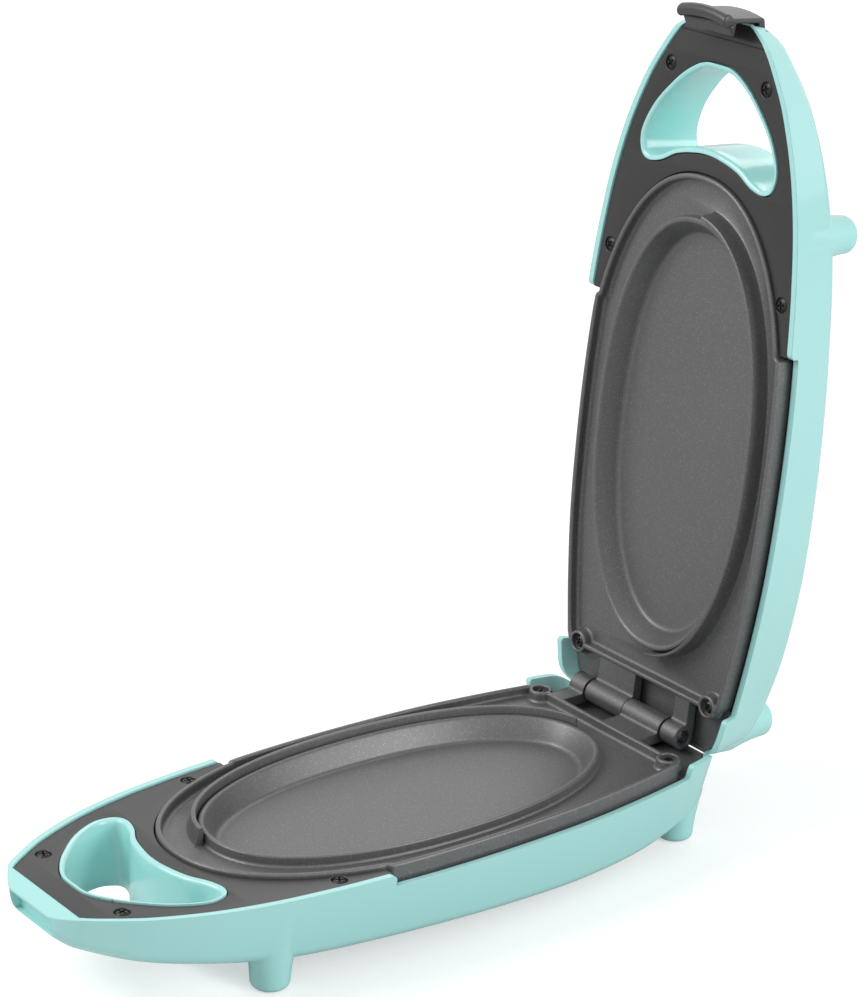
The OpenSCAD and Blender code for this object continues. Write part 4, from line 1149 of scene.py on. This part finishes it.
@dataclass
class CookingPlates:
    """The cast plates with their cavities, ridges and hinge knuckles.

    The views are outlines of what goes round, as pairs of a distance outwards and a depth.
    """

    form: HalfForm = field(default_factory=HalfForm)
    lip_r: float = 1.1
    fillet_r: float = 1.6
    bowl_round: Rows = ((0.4, 0.0), (2.2, 0.1), (5.4, 1.7), (6.5, 2.7), (6.8, 4.0))
    bowl_foot: Rows = ((0.0, 6.6), (0.85, 5.1), (0.4, 4.6), (0.1, 4.2), (0.0, 3.6))
    bowl_lip: Rows = ((0.0, 0.8), (0.12, 0.4), (0.4, 0.1), (0.8, 0.0), (2.6, 0.0))
    cavity_view: Rows = (
        (-3.2, 10.0), (-2.2, 9.97), (-1.3, 9.8), (-0.6, 9.4), (-0.15, 8.8), (0.2, 8.0), (2.1, 4.4),
        (4.05, 1.25), (4.4, 0.75), (4.85, 0.42), (5.5, 0.29), (6.2, -0.1), (6.4, -6.0))
    ridge_gap: float = 0.9
    ridge_w: float = 2.1
    ridge_h: float = 3.0
    ridge_foot: float = 1.1
    ridge_turn: Pair = (-86.0, 85.0)
    ridge_slim: float = 0.4
    ridge_ramp: float = 30.0
    corner_d: float = 10.7
    boss_foot: Rows = ((0.0, 6.0), (1.0, 5.1), (0.4, 4.55), (0.1, 4.1), (0.0, 3.5))
    boss_lip: Rows = ((0.0, 0.9), (0.15, 0.4), (0.5, 0.08), (0.9, 0.0))
    corner_recess_d: float = 7.5
    mouth_edge: float = 0.3
    mouth_h: float = 0.35
    seat_w: float = 2.7
    bore_d: float = 3.3
    through: float = 20.0
    knuckle_d: float = 10.8
    long_from: float = 0.2
    long_l: float = 24.8
    short_from: float = -35.9
    short_l: float = 9.4
    shift: float = 3.0
    pin_bore_d: float = 4.1
    pin_recess_d: float = 7.0
    pin_recess_h: float = 1.6
    web: Pair = (1.0, 5.2)
    web_r: float = 1.5
    bars: Pair = (70.0, 150.0)
    bar_top: float = 19.4
    bar_post_d: float = 8.0
    shield_ends: Pair = (45.0, 213.0)
    shield_w: float = 25.2
    shield_post_d: float = 7.0
    ear_u: float = 226.0
    ear_x: float = 43.52
    ear_top: float = 6.1
    ear_l: float = 12.0
    ear_tip_r: float = 4.5
    ear_root_r: float = 4.0
    flange: Point = (7.6, 8.8, -4.8)
    flange_gap: float = 0.6
    upstand: Point = (3.4, 1.4, 42.0)
    upstand_top: float = 4.8
    upstand_slope: float = 1.09
    upstand_gap: float = 0.4

    def tray(self) -> bpy.types.Object:
        """The shallow tray with its rounded lip and filleted floor.

        Returns:
            The object, in millimetres.
        """
        f, r, q = self.form, self.lip_r, self.fillet_r
        turn = np.linspace(0, math.pi / 2, 6)
        levels = [(f.lip_w, f.floor_top + f.cast_t), (f.lip_w, f.skirt_w), (0.0, f.skirt_w)]
        levels += [(r - r * math.cos(a), f.lip_top + r - r * math.sin(a)) for a in turn]
        levels += [(f.lip_w - r + r * math.sin(a), f.lip_top + r - r * math.cos(a)) for a in turn]
        levels += [(f.lip_w + q - q * math.cos(a), f.floor_top - q + q * math.sin(a)) for a in turn]
        return Draft().rings([[(x, y, -w) for x, y in f.plate_outline(t)] for t, w in levels]).solid("tray")

    def bowl(self) -> bpy.types.Object:
        """The cavity's casting, with its low rim and the fillet at its foot.

        Returns:
            The object, in millimetres.
        """
        f = self.form
        g, under = f.rim_out, f.cavity_w + f.cast_t
        levels = [(v, under - up) for v, up in self.bowl_round]
        levels += [(g + v, w) for v, w in self.bowl_foot]
        levels += [(g - v, f.lip_top + w) for v, w in self.bowl_lip]
        return Draft().rings([f.oval(v, w) for v, w in levels]).solid("bowl")

    def cavity(self) -> bpy.types.Object:
        """What is cut for the cavity: flat floor, round foot, sloping wall and rounded mouth.

        Returns:
            The object, in millimetres.
        """
        return Draft().rings([self.form.oval(v, w) for v, w in self.cavity_view]).solid("cavity")

    def ridge(self) -> bpy.types.Object:
        """The high ridge along one side of the cavity, slimmer towards the hinge.

        Returns:
            The object, in millimetres.
        """
        f, rings = self.form, []
        low, high = self.ridge_turn
        start, top = f.rim_out + self.ridge_gap, -self.ridge_h
        for turn in np.linspace(low, high, 70):
            s = min(1.0, self.ridge_slim + (1 - self.ridge_slim) * (turn - low) / self.ridge_ramp)
            g, foot = start + self.ridge_w * s, self.ridge_foot * s
            root = g + foot + 1.3
            view = [(start - 0.1, 5.4), (start, 3.4), (start, top + 0.7), (start + 0.14, top + 0.24),
                    (start + 0.42 * s, top), (g - 0.5 * s, top), (g - 0.12 * s, top + 0.2), (g, top + 0.7),
                    (g + 0.5 * foot, 1.6), (g + foot, 3.6), (g + foot + 0.5, 4.6), (root, 5.05), (root, 5.4)]
            rings.append([f.oval_point(v, w, math.pi - math.radians(turn)) for v, w in view])
        return Draft().rings(rings).solid("ridge")

    def knuckle(self, start: float, length: float) -> bpy.types.Object:
        """A hinge barrel with its web to the plate.

        Args:
            start: Its first place across the body.
            length: Its length.

        Returns:
            The object, in millimetres.
        """
        r, (top, low), q = self.knuckle_d / 2, self.web, self.web_r
        end = self.form.plate_rear + self.form.lip_w / 2
        cu, cw = math.sqrt((r + q) ** 2 - (q - top) ** 2), top - q
        first = math.atan2(cw, cu)
        last = -2 * math.pi + math.asin(low / r)
        view = [(r * math.cos(a), r * math.sin(a)) for a in np.linspace(first, last, 46)]
        view += [(end, low), (end, top)]
        view += [(cu + q * math.cos(a), cw + q * math.sin(a))
                 for a in np.linspace(math.pi / 2, math.pi + first, 7)]
        return swept("knuckle", view[::-1], start, start + length)

    def deck_cover(self) -> bpy.types.Object:
        """The flange that covers the shell's deck behind the corner bosses.

        Returns:
            The object, in millimetres.
        """
        f, wide = self.form, 2 * self.form.half_w
        low, high, rear = self.flange
        room = Shells().boat("flange", rear, f.plate_rear + f.lip_w / 2, f.wall + self.flange_gap, -2 * PAST)
        return combine(room, block("level", (-wide, wide), (-wide, wide), (low, high)), "INTERSECT")

    def casting(self) -> bpy.types.Object:
        """What both plates share.

        Returns:
            The object, in millimetres.
        """
        f, r, lip = self.form, self.corner_d / 2, self.form.lip_top
        plate = combine(self.tray(), self.bowl(), "UNION")
        combine(plate, self.ridge(), "UNION")
        combine(plate, self.deck_cover(), "UNION")
        boss = [(0, f.skirt_w), (r, f.skirt_w)] + [(r + v, w) for v, w in self.boss_foot]
        boss += [(r - v, lip + w) for v, w in self.boss_lip] + [(0, lip)]
        for side in (1, -1):
            combine(plate, lathe("boss", boss, (side * f.corner_x, f.corner_u, 0)), "UNION")
            combine(plate, self.ear(side), "UNION")
        posts = [(u, self.bar_top, self.bar_post_d) for u in self.bars]
        posts += [(u, self.shield_w, self.shield_post_d) for u in self.shield_ends]
        for u, low, d in posts:
            start = f.cavity_w + f.cast_t - PAST
            combine(plate, lathe("post", rod(d / 2, start, low), (0, u, 0), steps=32), "UNION")
        combine(plate, self.cavity())
        mouth, bore, edge = self.corner_recess_d / 2, self.bore_d / 2, self.mouth_edge
        room = [(0, -PAST), (mouth + edge, -PAST), (mouth + edge, lip), (mouth, lip + self.mouth_h),
                (mouth, self.seat_w), (bore, self.seat_w), (bore, self.through), (0, self.through)]
        for side in (1, -1):
            combine(plate, lathe("boss_room", room, (side * f.corner_x, f.corner_u, 0)))
        return plate

    def ear(self, side: int) -> bpy.types.Object:
        """The lug of a hidden front screw, with its hole.

        Args:
            side: 1 on the right, -1 on the left.

        Returns:
            The object, in millimetres.
        """
        way = math.radians(90 + 45 * side)
        a = (side * self.ear_x, -self.ear_u)
        b = (a[0] + self.ear_l * math.cos(way), a[1] + self.ear_l * math.sin(way))
        loop = [(c[0] + r * math.cos(way + t), c[1] + r * math.sin(way + t))
                for c, r, low, high in ((a, self.ear_tip_r, 1.6, 4.7), (b, self.ear_root_r, -1.55, 1.55))
                for t in np.linspace(low, high, 14)]
        lug = prism("ear", loop, self.ear_top, self.ear_top + self.form.cast_t)
        return combine(lug, lathe("ear_hole", rod(self.bore_d / 2, 0, self.through),
                                  (side * self.ear_x, self.ear_u, 0), steps=24))

    def build(self) -> None:
        """Makes both plates, their knuckles staggered about the hinge's middle."""
        base = self.casting()
        lid = twin(base, "lid_casting")
        half, bore, recess = -self.short_from, self.pin_bore_d / 2, self.pin_recess_d / 2
        near, t, edge = self.upstand
        wall = [(-near, self.upstand_top), (-near, self.flange[1]), (-near - t, self.flange[1]),
                (-near - t, (near + t) * self.upstand_slope + self.upstand_gap)]
        pin_room = [(0, -half - PAST), (recess, -half - PAST), (recess, self.pin_recess_h - half),
                    (bore, self.pin_recess_h - half), (bore, half + PAST), (0, half + PAST)]
        for plate, shift in ((base, -self.shift), (lid, self.shift)):
            combine(plate, swept("upstand", wall, -edge, edge, 0.2), "UNION")
            combine(plate, self.knuckle(shift + self.long_from, self.long_l), "UNION")
            combine(plate, self.knuckle(shift + self.short_from, self.short_l), "UNION")
            combine(plate, lathe("pin_room", pin_room, (shift, 0, 0), "x"))
        finished(base, "base_cooking_plate", Side.BASE, Finishes.COAT, "base", ["base_plate"])
        finished(lid, "lid_cooking_plate", Side.LID, Finishes.COAT, "lid", ["lid_plate"])


# Screws


@dataclass
class Screws:
    """The cross-head screws, placed on points by a node tree."""

    form: HalfForm = field(default_factory=HalfForm)
    head_d: float = 5.8
    head_h: float = 1.4
    thread_d: float = 3.0
    slot_w: float = 0.9
    slot_l: float = 3.7
    slot_h: float = 0.85
    thread_l: float = 9.0

    @staticmethod
    def tree(finish: Finish) -> bpy.types.NodeTree:
        """The tree that turns points into screws.

        Args:
            finish: The screws' finish.

        Returns:
            The tree, with inputs for the screw's sizes and the seed of its turns.
        """
        name = "screws_" + finish.name
        if name in bpy.data.node_groups:
            return bpy.data.node_groups[name]
        tree = bpy.data.node_groups.new(name, "GeometryNodeTree")
        tree.interface.new_socket("Geometry", in_out="INPUT", socket_type="NodeSocketGeometry")
        for socket in ("Head Radius", "Head Height", "Thread Radius", "Length", "Slot Width", "Slot Length",
                       "Slot Depth"):
            tree.interface.new_socket(socket, in_out="INPUT", socket_type="NodeSocketFloat")
        tree.interface.new_socket("Seed", in_out="INPUT", socket_type="NodeSocketInt")
        tree.interface.new_socket("Geometry", in_out="OUTPUT", socket_type="NodeSocketGeometry")
        n, l = tree.nodes, tree.links
        given, out = n.new("NodeGroupInput"), n.new("NodeGroupOutput")
        size = given.outputs

        def sum_of(a: object, b: object, how: str = "ADD") -> bpy.types.NodeSocket:
            """A sum or product.

            Args:
                a: A socket or a number.
                b: A socket or a number.
                how: ADD or MULTIPLY.

            Returns:
                The socket with the result.
            """
            node = n.new("ShaderNodeMath")
            node.operation = how
            for socket, value in zip(node.inputs, (a, b)):
                if isinstance(value, (int, float)):
                    socket.default_value = value
                else:
                    l.new(value, socket)
            return node.outputs[0]

        def moved(shape: bpy.types.NodeSocket, lift: bpy.types.NodeSocket) -> bpy.types.NodeSocket:
            """A mesh raised by a height.

            Args:
                shape: The mesh.
                lift: The height.

            Returns:
                The socket with the result.
            """
            move, place = n.new("GeometryNodeTransform"), n.new("ShaderNodeCombineXYZ")
            l.new(lift, place.inputs["Z"])
            l.new(place.outputs[0], move.inputs["Translation"])
            l.new(shape, move.inputs["Geometry"])
            return move.outputs[0]

        def cone(low: bpy.types.NodeSocket, high: bpy.types.NodeSocket, depth: bpy.types.NodeSocket,
                 lift: bpy.types.NodeSocket) -> bpy.types.NodeSocket:
            """A cone.

            Args:
                low: Radius of its low end.
                high: Radius of its high end.
                depth: Its height.
                lift: Height of its low end.

            Returns:
                The socket with its mesh.
            """
            node = n.new("GeometryNodeMeshCone")
            node.inputs["Vertices"].default_value = 40
            for socket, value in (("Radius Bottom", low), ("Radius Top", high), ("Depth", depth)):
                l.new(value, node.inputs[socket])
            return moved(node.outputs["Mesh"], lift)

        radius, height, shank, length = (size[k] for k in ("Head Radius", "Head Height", "Thread Radius",
                                                           "Length"))
        skirt = cone(sum_of(radius, 0.97, "MULTIPLY"), radius, sum_of(height, 0.45, "MULTIPLY"),
                     sum_of(0.0, 0.0))
        dome = cone(radius, sum_of(radius, 0.62, "MULTIPLY"), sum_of(height, 0.551, "MULTIPLY"),
                    sum_of(height, 0.449, "MULTIPLY"))
        thread = cone(sum_of(shank, 0.55, "MULTIPLY"), shank, sum_of(length, 0.1),
                      sum_of(length, -1.0, "MULTIPLY"))
        solid, cut = n.new("GeometryNodeMeshBoolean"), n.new("GeometryNodeMeshBoolean")
        solid.operation, cut.operation = "UNION", "DIFFERENCE"
        for part in (skirt, dome, thread):
            l.new(part, solid.inputs["Mesh 2"])
        l.new(solid.outputs["Mesh"], cut.inputs["Mesh 1"])
        for x, y in (("Slot Length", "Slot Width"), ("Slot Width", "Slot Length")):
            bar, span = n.new("GeometryNodeMeshCube"), n.new("ShaderNodeCombineXYZ")
            l.new(size[x], span.inputs["X"])
            l.new(size[y], span.inputs["Y"])
            l.new(sum_of(size["Slot Depth"], 2.0, "MULTIPLY"), span.inputs["Z"])
            l.new(span.outputs[0], bar.inputs["Size"])
            l.new(moved(bar.outputs["Mesh"], height), cut.inputs["Mesh 2"])
        turn, spin = n.new("FunctionNodeRandomValue"), n.new("ShaderNodeCombineXYZ")
        spread = n.new("GeometryNodeInstanceOnPoints")
        turn.inputs[3].default_value = math.pi
        l.new(size["Seed"], turn.inputs["Seed"])
        l.new(turn.outputs[1], spin.inputs["Z"])
        l.new(size["Geometry"], spread.inputs["Points"])
        l.new(cut.outputs["Mesh"], spread.inputs["Instance"])
        l.new(spin.outputs[0], spread.inputs["Rotation"])
        real, dress = n.new("GeometryNodeRealizeInstances"), n.new("GeometryNodeSetMaterial")
        dress.inputs["Material"].default_value = finish.material()
        l.new(spread.outputs[0], real.inputs[0])
        l.new(real.outputs[0], dress.inputs["Geometry"])
        l.new(dress.outputs[0], out.inputs[0])
        return tree

    def row(self, name: str, places: Sequence[Point], length: float, seed: int) -> bpy.types.Object:
        """Screws of one length.

        Args:
            name: The piece's name.
            places: Their heads' seats as (x, u, w), each used on both sides.
            length: Their length under the head.
            seed: Seed of their turns.

        Returns:
            The object, in millimetres.
        """
        mesh = bpy.data.meshes.new(name)
        mesh.from_pydata([(side * x, -u, -w) for x, u, w in places for side in (1, -1)], [], [])
        made = in_scene(name, mesh)
        step = made.modifiers.new("screws", "NODES")
        step.node_group = self.tree(Finishes.BLACK_SCREW)
        sizes = {"Head Radius": self.head_d / 2, "Head Height": self.head_h,
                 "Thread Radius": self.thread_d / 2, "Length": length, "Slot Width": self.slot_w,
                 "Slot Length": self.slot_l, "Slot Depth": self.slot_h, "Seed": seed}
        for item in step.node_group.interface.items_tree:
            if item.in_out == "INPUT" and item.name in sizes:
                step[item.identifier] = sizes[item.name]
        graph = bpy.context.evaluated_depsgraph_get()
        plain = bpy.data.meshes.new_from_object(made.evaluated_get(graph))
        made.modifiers.remove(step)
        made.data = plain
        bpy.data.meshes.remove(mesh)
        return made

    def build(self) -> None:
        """Makes the panel and plate screws of both halves."""
        f, plates = self.form, CookingPlates()
        seat = f.panel_top + NosePanels.recess_h
        under = f.panel_t - NosePanels.recess_h + self.thread_l
        for number, side in enumerate(Side):
            word = side.value
            panel = self.row(word + "_handle_screws", [(x, u, seat) for x, u in f.panel_screws()], under,
                             11 + number)
            finished(panel, word + "_handle_screws", side, Finishes.BLACK_SCREW, word,
                     [word + "_panel_screws"])
            corner = self.row(word + "_corners", [(f.corner_x, f.corner_u, plates.seat_w)],
                              f.skirt_w - plates.seat_w + self.thread_l, 21 + number)
            front = self.row(word + "_ears", [(plates.ear_x, plates.ear_u, plates.ear_top)],
                             f.cast_t + self.thread_l, 31 + number)
            work = bmesh.new()
            for part in (corner, front):
                work.from_mesh(part.data)
            work.to_mesh(corner.data)
            work.free()
            bpy.data.objects.remove(front)
            finished(corner, word + "_plate_fixings", side, Finishes.BLACK_SCREW, word,
                     [word + "_plate_screws"])


# Latch, pin and lenses


@dataclass
class Latch:
    """The arched clip at the lid's nose."""

    form: HalfForm = field(default_factory=HalfForm)
    half: float = 15.0
    pivot: Pair = (Shells.latch_pin_u, Shells.latch_pin_w)
    barrel_r: float = 3.0
    bore_r: float = Shells.latch_bore_r
    arm_in: float = 312.9
    arm_t: float = 2.0
    bulge: float = 1.9
    hook_in: float = 307.6
    hook_w: float = 5.2
    hook_t: float = 3.3
    hook_edge: float = 0.9
    hook_back: float = 1.4
    bend_w: float = 1.5
    bead_up: float = 4.5
    bead_r: float = 2.8
    bead_neck: float = 1.2
    end_r: float = 0.7
    end_steps: Rows = ((0.0, 0.7), (0.2, 0.25), (0.7, 0.0))

    def view(self, x: float) -> Loop:
        """The clip's side view at a place across the body.

        Args:
            x: The place.

        Returns:
            The outline as (u, w).
        """
        bow = (self.half ** 2 + self.bulge ** 2) / (2 * self.bulge)
        inner = self.arm_in + self.bulge + math.sqrt(bow ** 2 - x ** 2) - bow
        outer, mid = inner + self.arm_t, inner + self.arm_t / 2
        (pu, pw), r = self.pivot, self.bead_r
        hook, bead_w, bend = -self.hook_w, -self.hook_w - self.bead_up, pw + self.bend_w
        barrel = [(pu + self.barrel_r * math.cos(a), pw + self.barrel_r * math.sin(a))
                  for a in np.radians(np.linspace(60, 330, 24))]
        bead = [(mid + r * math.cos(a), bead_w + r * math.sin(a))
                for a in np.radians(np.linspace(118, 428, 28))]
        neck = rounded([(*barrel[-1], 0), (inner, pw - self.bend_w, 0.8), (inner, hook, 0.9),
                        (self.hook_in, hook, 0.35), (self.hook_in, hook - self.hook_edge, 0.4),
                        (self.arm_in - self.hook_back, hook - self.hook_t, 1.2), (*bead[0], 0)], 5)
        back = rounded([(*bead[-1], 0), (outer, bead_w + r + self.bead_neck, 1.0), (outer, bend, 1.0),
                        (*barrel[0], 0)], 5)
        return barrel + neck[1:-1] + bead + back[1:-1]

    def build(self) -> None:
        """Makes the clip."""
        ends = [(self.half - x, t) for x, t in self.end_steps]
        middle = np.linspace(-self.half + self.end_r, self.half - self.end_r, 31)[1:-1]
        stations = [(-x, t) for x, t in ends] + [(x, 0.0) for x in middle] + ends[::-1]
        rings = []
        for x, t in stations:
            view = self.view(x)
            shape = HalfForm.inset(view[::-1], t)[::-1] if t else view
            rings.append([(x, -u, -w) for u, w in shape])
        clip = Draft().rings(rings).solid("clip")
        reach = self.half + PAST
        combine(clip, lathe("bore", rod(self.bore_r, -reach, reach), (0, *self.pivot), "x", 32))
        finished(clip, "latch_arched_clip", Side.LID, Finishes.LATCH, "latch", ["latch_clip"])


@dataclass
class SmallParts:
    """The hinge pin and the lamp lenses."""

    form: HalfForm = field(default_factory=HalfForm)
    pin_r: float = 2.0
    pin_head_r: float = 2.8
    shaft: float = 34.35
    pin_end: float = 35.55
    shift: float = CookingPlates.shift
    lamp_u: float = Shells.lamp_u
    lamp_x: float = Shells.lamp_x
    lens_r: float = 3.0
    lens_stand: float = 0.2
    lens_dome: float = 0.6
    flange_w: float = 1.0
    flange_t: float = 0.8

    def pin(self) -> bpy.types.Object:
        """The hinge pin with its rounded heads, a dimple in each.

        Returns:
            The object, in millimetres.
        """
        s, e, h = self.shaft, self.pin_end, self.pin_head_r
        half = [(0, e), (1.1, e), (1.3, e - 0.25), (1.7, e - 0.1), (h - 0.35, e - 0.35), (h, s + 0.5), (h, s),
                (self.pin_r, s)]
        return lathe("pin", [(r, -d) for r, d in half] + half[::-1], (-self.shift, 0, 0), "x", 40)

    def lens(self, side: int) -> bpy.types.Object:
        """A lens with its flange and domed face.

        Args:
            side: 1 on the right, -1 on the left.

        Returns:
            The object, in millimetres.
        """
        f, r = self.form, self.lens_r
        face, seat = f.keel_w(self.lamp_u) + self.lens_stand, f.keel_w(self.lamp_u) - f.wall - self.flange_w
        profile = [(0, seat - self.flange_t), (r + self.flange_w, seat - self.flange_t),
                   (r + self.flange_w, seat), (r, seat), (r, face)]
        profile += [(r * math.cos(a), face + self.lens_dome * math.sin(a))
                    for a in np.linspace(0.2, math.pi / 2, 8)]
        return lathe("lens", profile, (side * self.lamp_x, self.lamp_u, 0))

    def build(self) -> None:
        """Makes the pin and the lenses."""
        finished(self.pin(), "hinge_rod", Side.BASE, Finishes.PIN, "base", ["hinge_pin"])
        lenses = combine(self.lens(1), self.lens(-1), "UNION")
        finished(lenses, "lamp_lenses", Side.LID, Finishes.LENS, "lid", ["indicator_lenses"])


# Studio


@dataclass(frozen=True)
class Lamp:
    """A round soft lamp: its place and what it looks at in metres, its width and its power in watts."""

    name: str
    spot: Point
    target: Point
    size: float
    power: float

    def build(self) -> None:
        """Hangs the lamp."""
        data = bpy.data.lights.new(self.name, "AREA")
        data.shape, data.size, data.energy = "DISK", self.size, self.power
        lamp = in_scene(self.name, data)
        lamp.location = self.spot
        lamp.rotation_euler = (Vector(self.target) - Vector(self.spot)).to_track_quat("-Z", "Y").to_euler()


@dataclass
class Studio:
    """Floor, light and camera."""

    eye: Point = (0.95314, -0.73915, 0.62188)
    azimuth: float = 52.04
    elevation: float = 20.38
    roll: float = 1.89
    lens: float = 130.12
    floor_half: float = 6.0
    floor_colour: float = 0.62
    floor_lift: float = 0.5
    floor_gloss: float = 0.05
    far_lift: float = 0.78
    near_r: float = 0.6
    far_r: float = 3.2
    ambient: float = 0.5
    lamps: tuple[Lamp, ...] = (
        Lamp("key", (-0.7, -1.3, 1.4), (0, 0.0, 0.15), 1.2, 23.0),
        Lamp("side", (1.7, 0.8, 0.9), (0, 0.0, 0.15), 1.3, 20.0),
        Lamp("back", (-1.0, 1.1, 1.4), (0, 0.1, 0.15), 1.0, 4.0))

    def camera(self) -> None:
        """Sets the camera at the photograph's angle."""
        data = bpy.data.cameras.new("camera")
        data.lens, data.sensor_width, data.sensor_fit = self.lens, 36.0, "HORIZONTAL"
        data.clip_end = 20
        view = in_scene("camera", data)
        az, el, roll = (math.radians(v) for v in (self.azimuth, self.elevation, self.roll))
        ahead = Vector((-math.sin(az) * math.cos(el), math.cos(az) * math.cos(el), -math.sin(el)))
        right = Vector((math.cos(az), math.sin(az), 0))
        up = right.cross(ahead)
        right, up = right * math.cos(roll) + up * math.sin(roll), up * math.cos(roll) - right * math.sin(roll)
        turn = Matrix((right, up, -ahead)).transposed()
        view.matrix_world = Matrix.Translation(self.eye) @ turn.to_4x4()
        bpy.context.scene.camera = view

    def floor(self) -> None:
        """Lays a pale floor that lifts to white for the camera, more so further out."""
        mesh, r = bpy.data.meshes.new("floor"), self.floor_half
        mesh.from_pydata([(-r, -r, 0), (r, -r, 0), (r, r, 0), (-r, r, 0)], [], [(0, 1, 2, 3)])
        made = in_scene("floor", mesh)
        finish = bpy.data.materials.new("floor_white")
        finish.use_nodes = True
        n, l = finish.node_tree.nodes, finish.node_tree.links
        shader = n["Principled BSDF"]
        shader.inputs["Base Color"].default_value = (self.floor_colour,) * 3 + (1,)
        shader.inputs["Roughness"].default_value = 0.6
        shader.inputs["Specular IOR Level"].default_value = 0.2
        path, gloss, scale, lift, both, coords, reach, fade = (n.new("ShaderNode" + kind) for kind in (
            "LightPath", "Math", "Math", "Emission", "AddShader", "TexCoord", "VectorMath", "MapRange"))
        gloss.operation, scale.operation, reach.operation = "MULTIPLY", "MULTIPLY_ADD", "LENGTH"
        gloss.inputs[1].default_value = self.floor_gloss
        for socket, value in (("From Min", self.near_r), ("From Max", self.far_r),
                              ("To Min", self.floor_lift), ("To Max", self.far_lift)):
            fade.inputs[socket].default_value = value
        l.new(coords.outputs["Object"], reach.inputs[0])
        l.new(reach.outputs["Value"], fade.inputs["Value"])
        l.new(path.outputs["Is Camera Ray"], scale.inputs[0])
        l.new(fade.outputs["Result"], scale.inputs[1])
        l.new(path.outputs["Is Glossy Ray"], gloss.inputs[0])
        l.new(gloss.outputs[0], scale.inputs[2])
        l.new(scale.outputs[0], lift.inputs["Strength"])
        l.new(shader.outputs[0], both.inputs[0])
        l.new(lift.outputs[0], both.inputs[1])
        l.new(both.outputs[0], n["Material Output"].inputs["Surface"])
        mesh.materials.append(finish)

    def world(self) -> None:
        """Sets a world that lights softly, and is white where the camera and reflections see it."""
        world = bpy.data.worlds.new("studio")
        bpy.context.scene.world = world
        world.use_nodes = True
        n, l = world.node_tree.nodes, world.node_tree.links
        back, out = n["Background"], n["World Output"]
        white, path, mix, seen = (n.new("ShaderNode" + kind) for kind in (
            "Background", "LightPath", "MixShader", "Math"))
        for shade, strength in ((back, self.ambient), (white, 1.0)):
            shade.inputs["Color"].default_value = (1, 1, 1, 1)
            shade.inputs["Strength"].default_value = strength
        seen.operation = "MAXIMUM"
        l.new(path.outputs["Is Camera Ray"], seen.inputs[0])
        l.new(path.outputs["Is Glossy Ray"], seen.inputs[1])
        l.new(seen.outputs[0], mix.inputs[0])
        l.new(back.outputs[0], mix.inputs[1])
        l.new(white.outputs[0], mix.inputs[2])
        l.new(mix.outputs[0], out.inputs[0])

    def build(self) -> None:
        """Makes the studio."""
        self.camera()
        self.floor()
        self.world()
        for lamp in self.lamps:
            lamp.build()
        bpy.context.scene.view_settings.view_transform = "Standard"


class CadNodes:
    """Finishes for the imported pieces, hidden or showing as they are."""

    BOTH: dict[str, Finish] = {
        "shell": Finishes.MINT, "nose_panel": Finishes.CHARCOAL, "plate": Finishes.COAT,
        "plate_screws": Finishes.BLACK_SCREW, "panel_screws": Finishes.BLACK_SCREW,
        "heating_element": Finishes.STEEL, "clamp_bars": Finishes.ZINC, "bar_screws": Finishes.STEEL,
        "heat_shield": Finishes.ZINC, "shield_screws": Finishes.STEEL, "thermostat": Finishes.CERAMIC,
        "leads": Finishes.SLEEVE}
    SINGLE: dict[str, Finish] = {
        "thermal_fuse": Finishes.SLEEVE, "terminal_block": Finishes.CERAMIC,
        "terminal_screws": Finishes.BRASS, "inlet_bush": Finishes.RUBBER, "hinge_pin": Finishes.PIN,
        "latch_pin": Finishes.PIN,
        "lamp_board": Finishes.BOARD, "indicator_lamps": Finishes.LAMP, "indicator_lenses": Finishes.LENS,
        "latch_clip": Finishes.LATCH}

    def dress(self) -> None:
        """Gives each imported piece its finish."""
        plan = dict(self.SINGLE)
        for side in Side:
            plan |= {side.value + "_" + name: finish for name, finish in self.BOTH.items()}
        for name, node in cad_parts.items():
            node.data.materials.clear()
            node.data.materials.append(plan[name].material())
            LOG.info("%s: finish %s", name, plan[name].name)


def main() -> None:
    """Builds the looks."""
    logging.basicConfig(level=logging.INFO, format="%(message)s")
    CadNodes().dress()
    for assembly in (Shells(), NosePanels(), CookingPlates(), Screws(), Latch(), SmallParts(), Studio()):
        assembly.build()


if __name__ == "__main__":
    main()
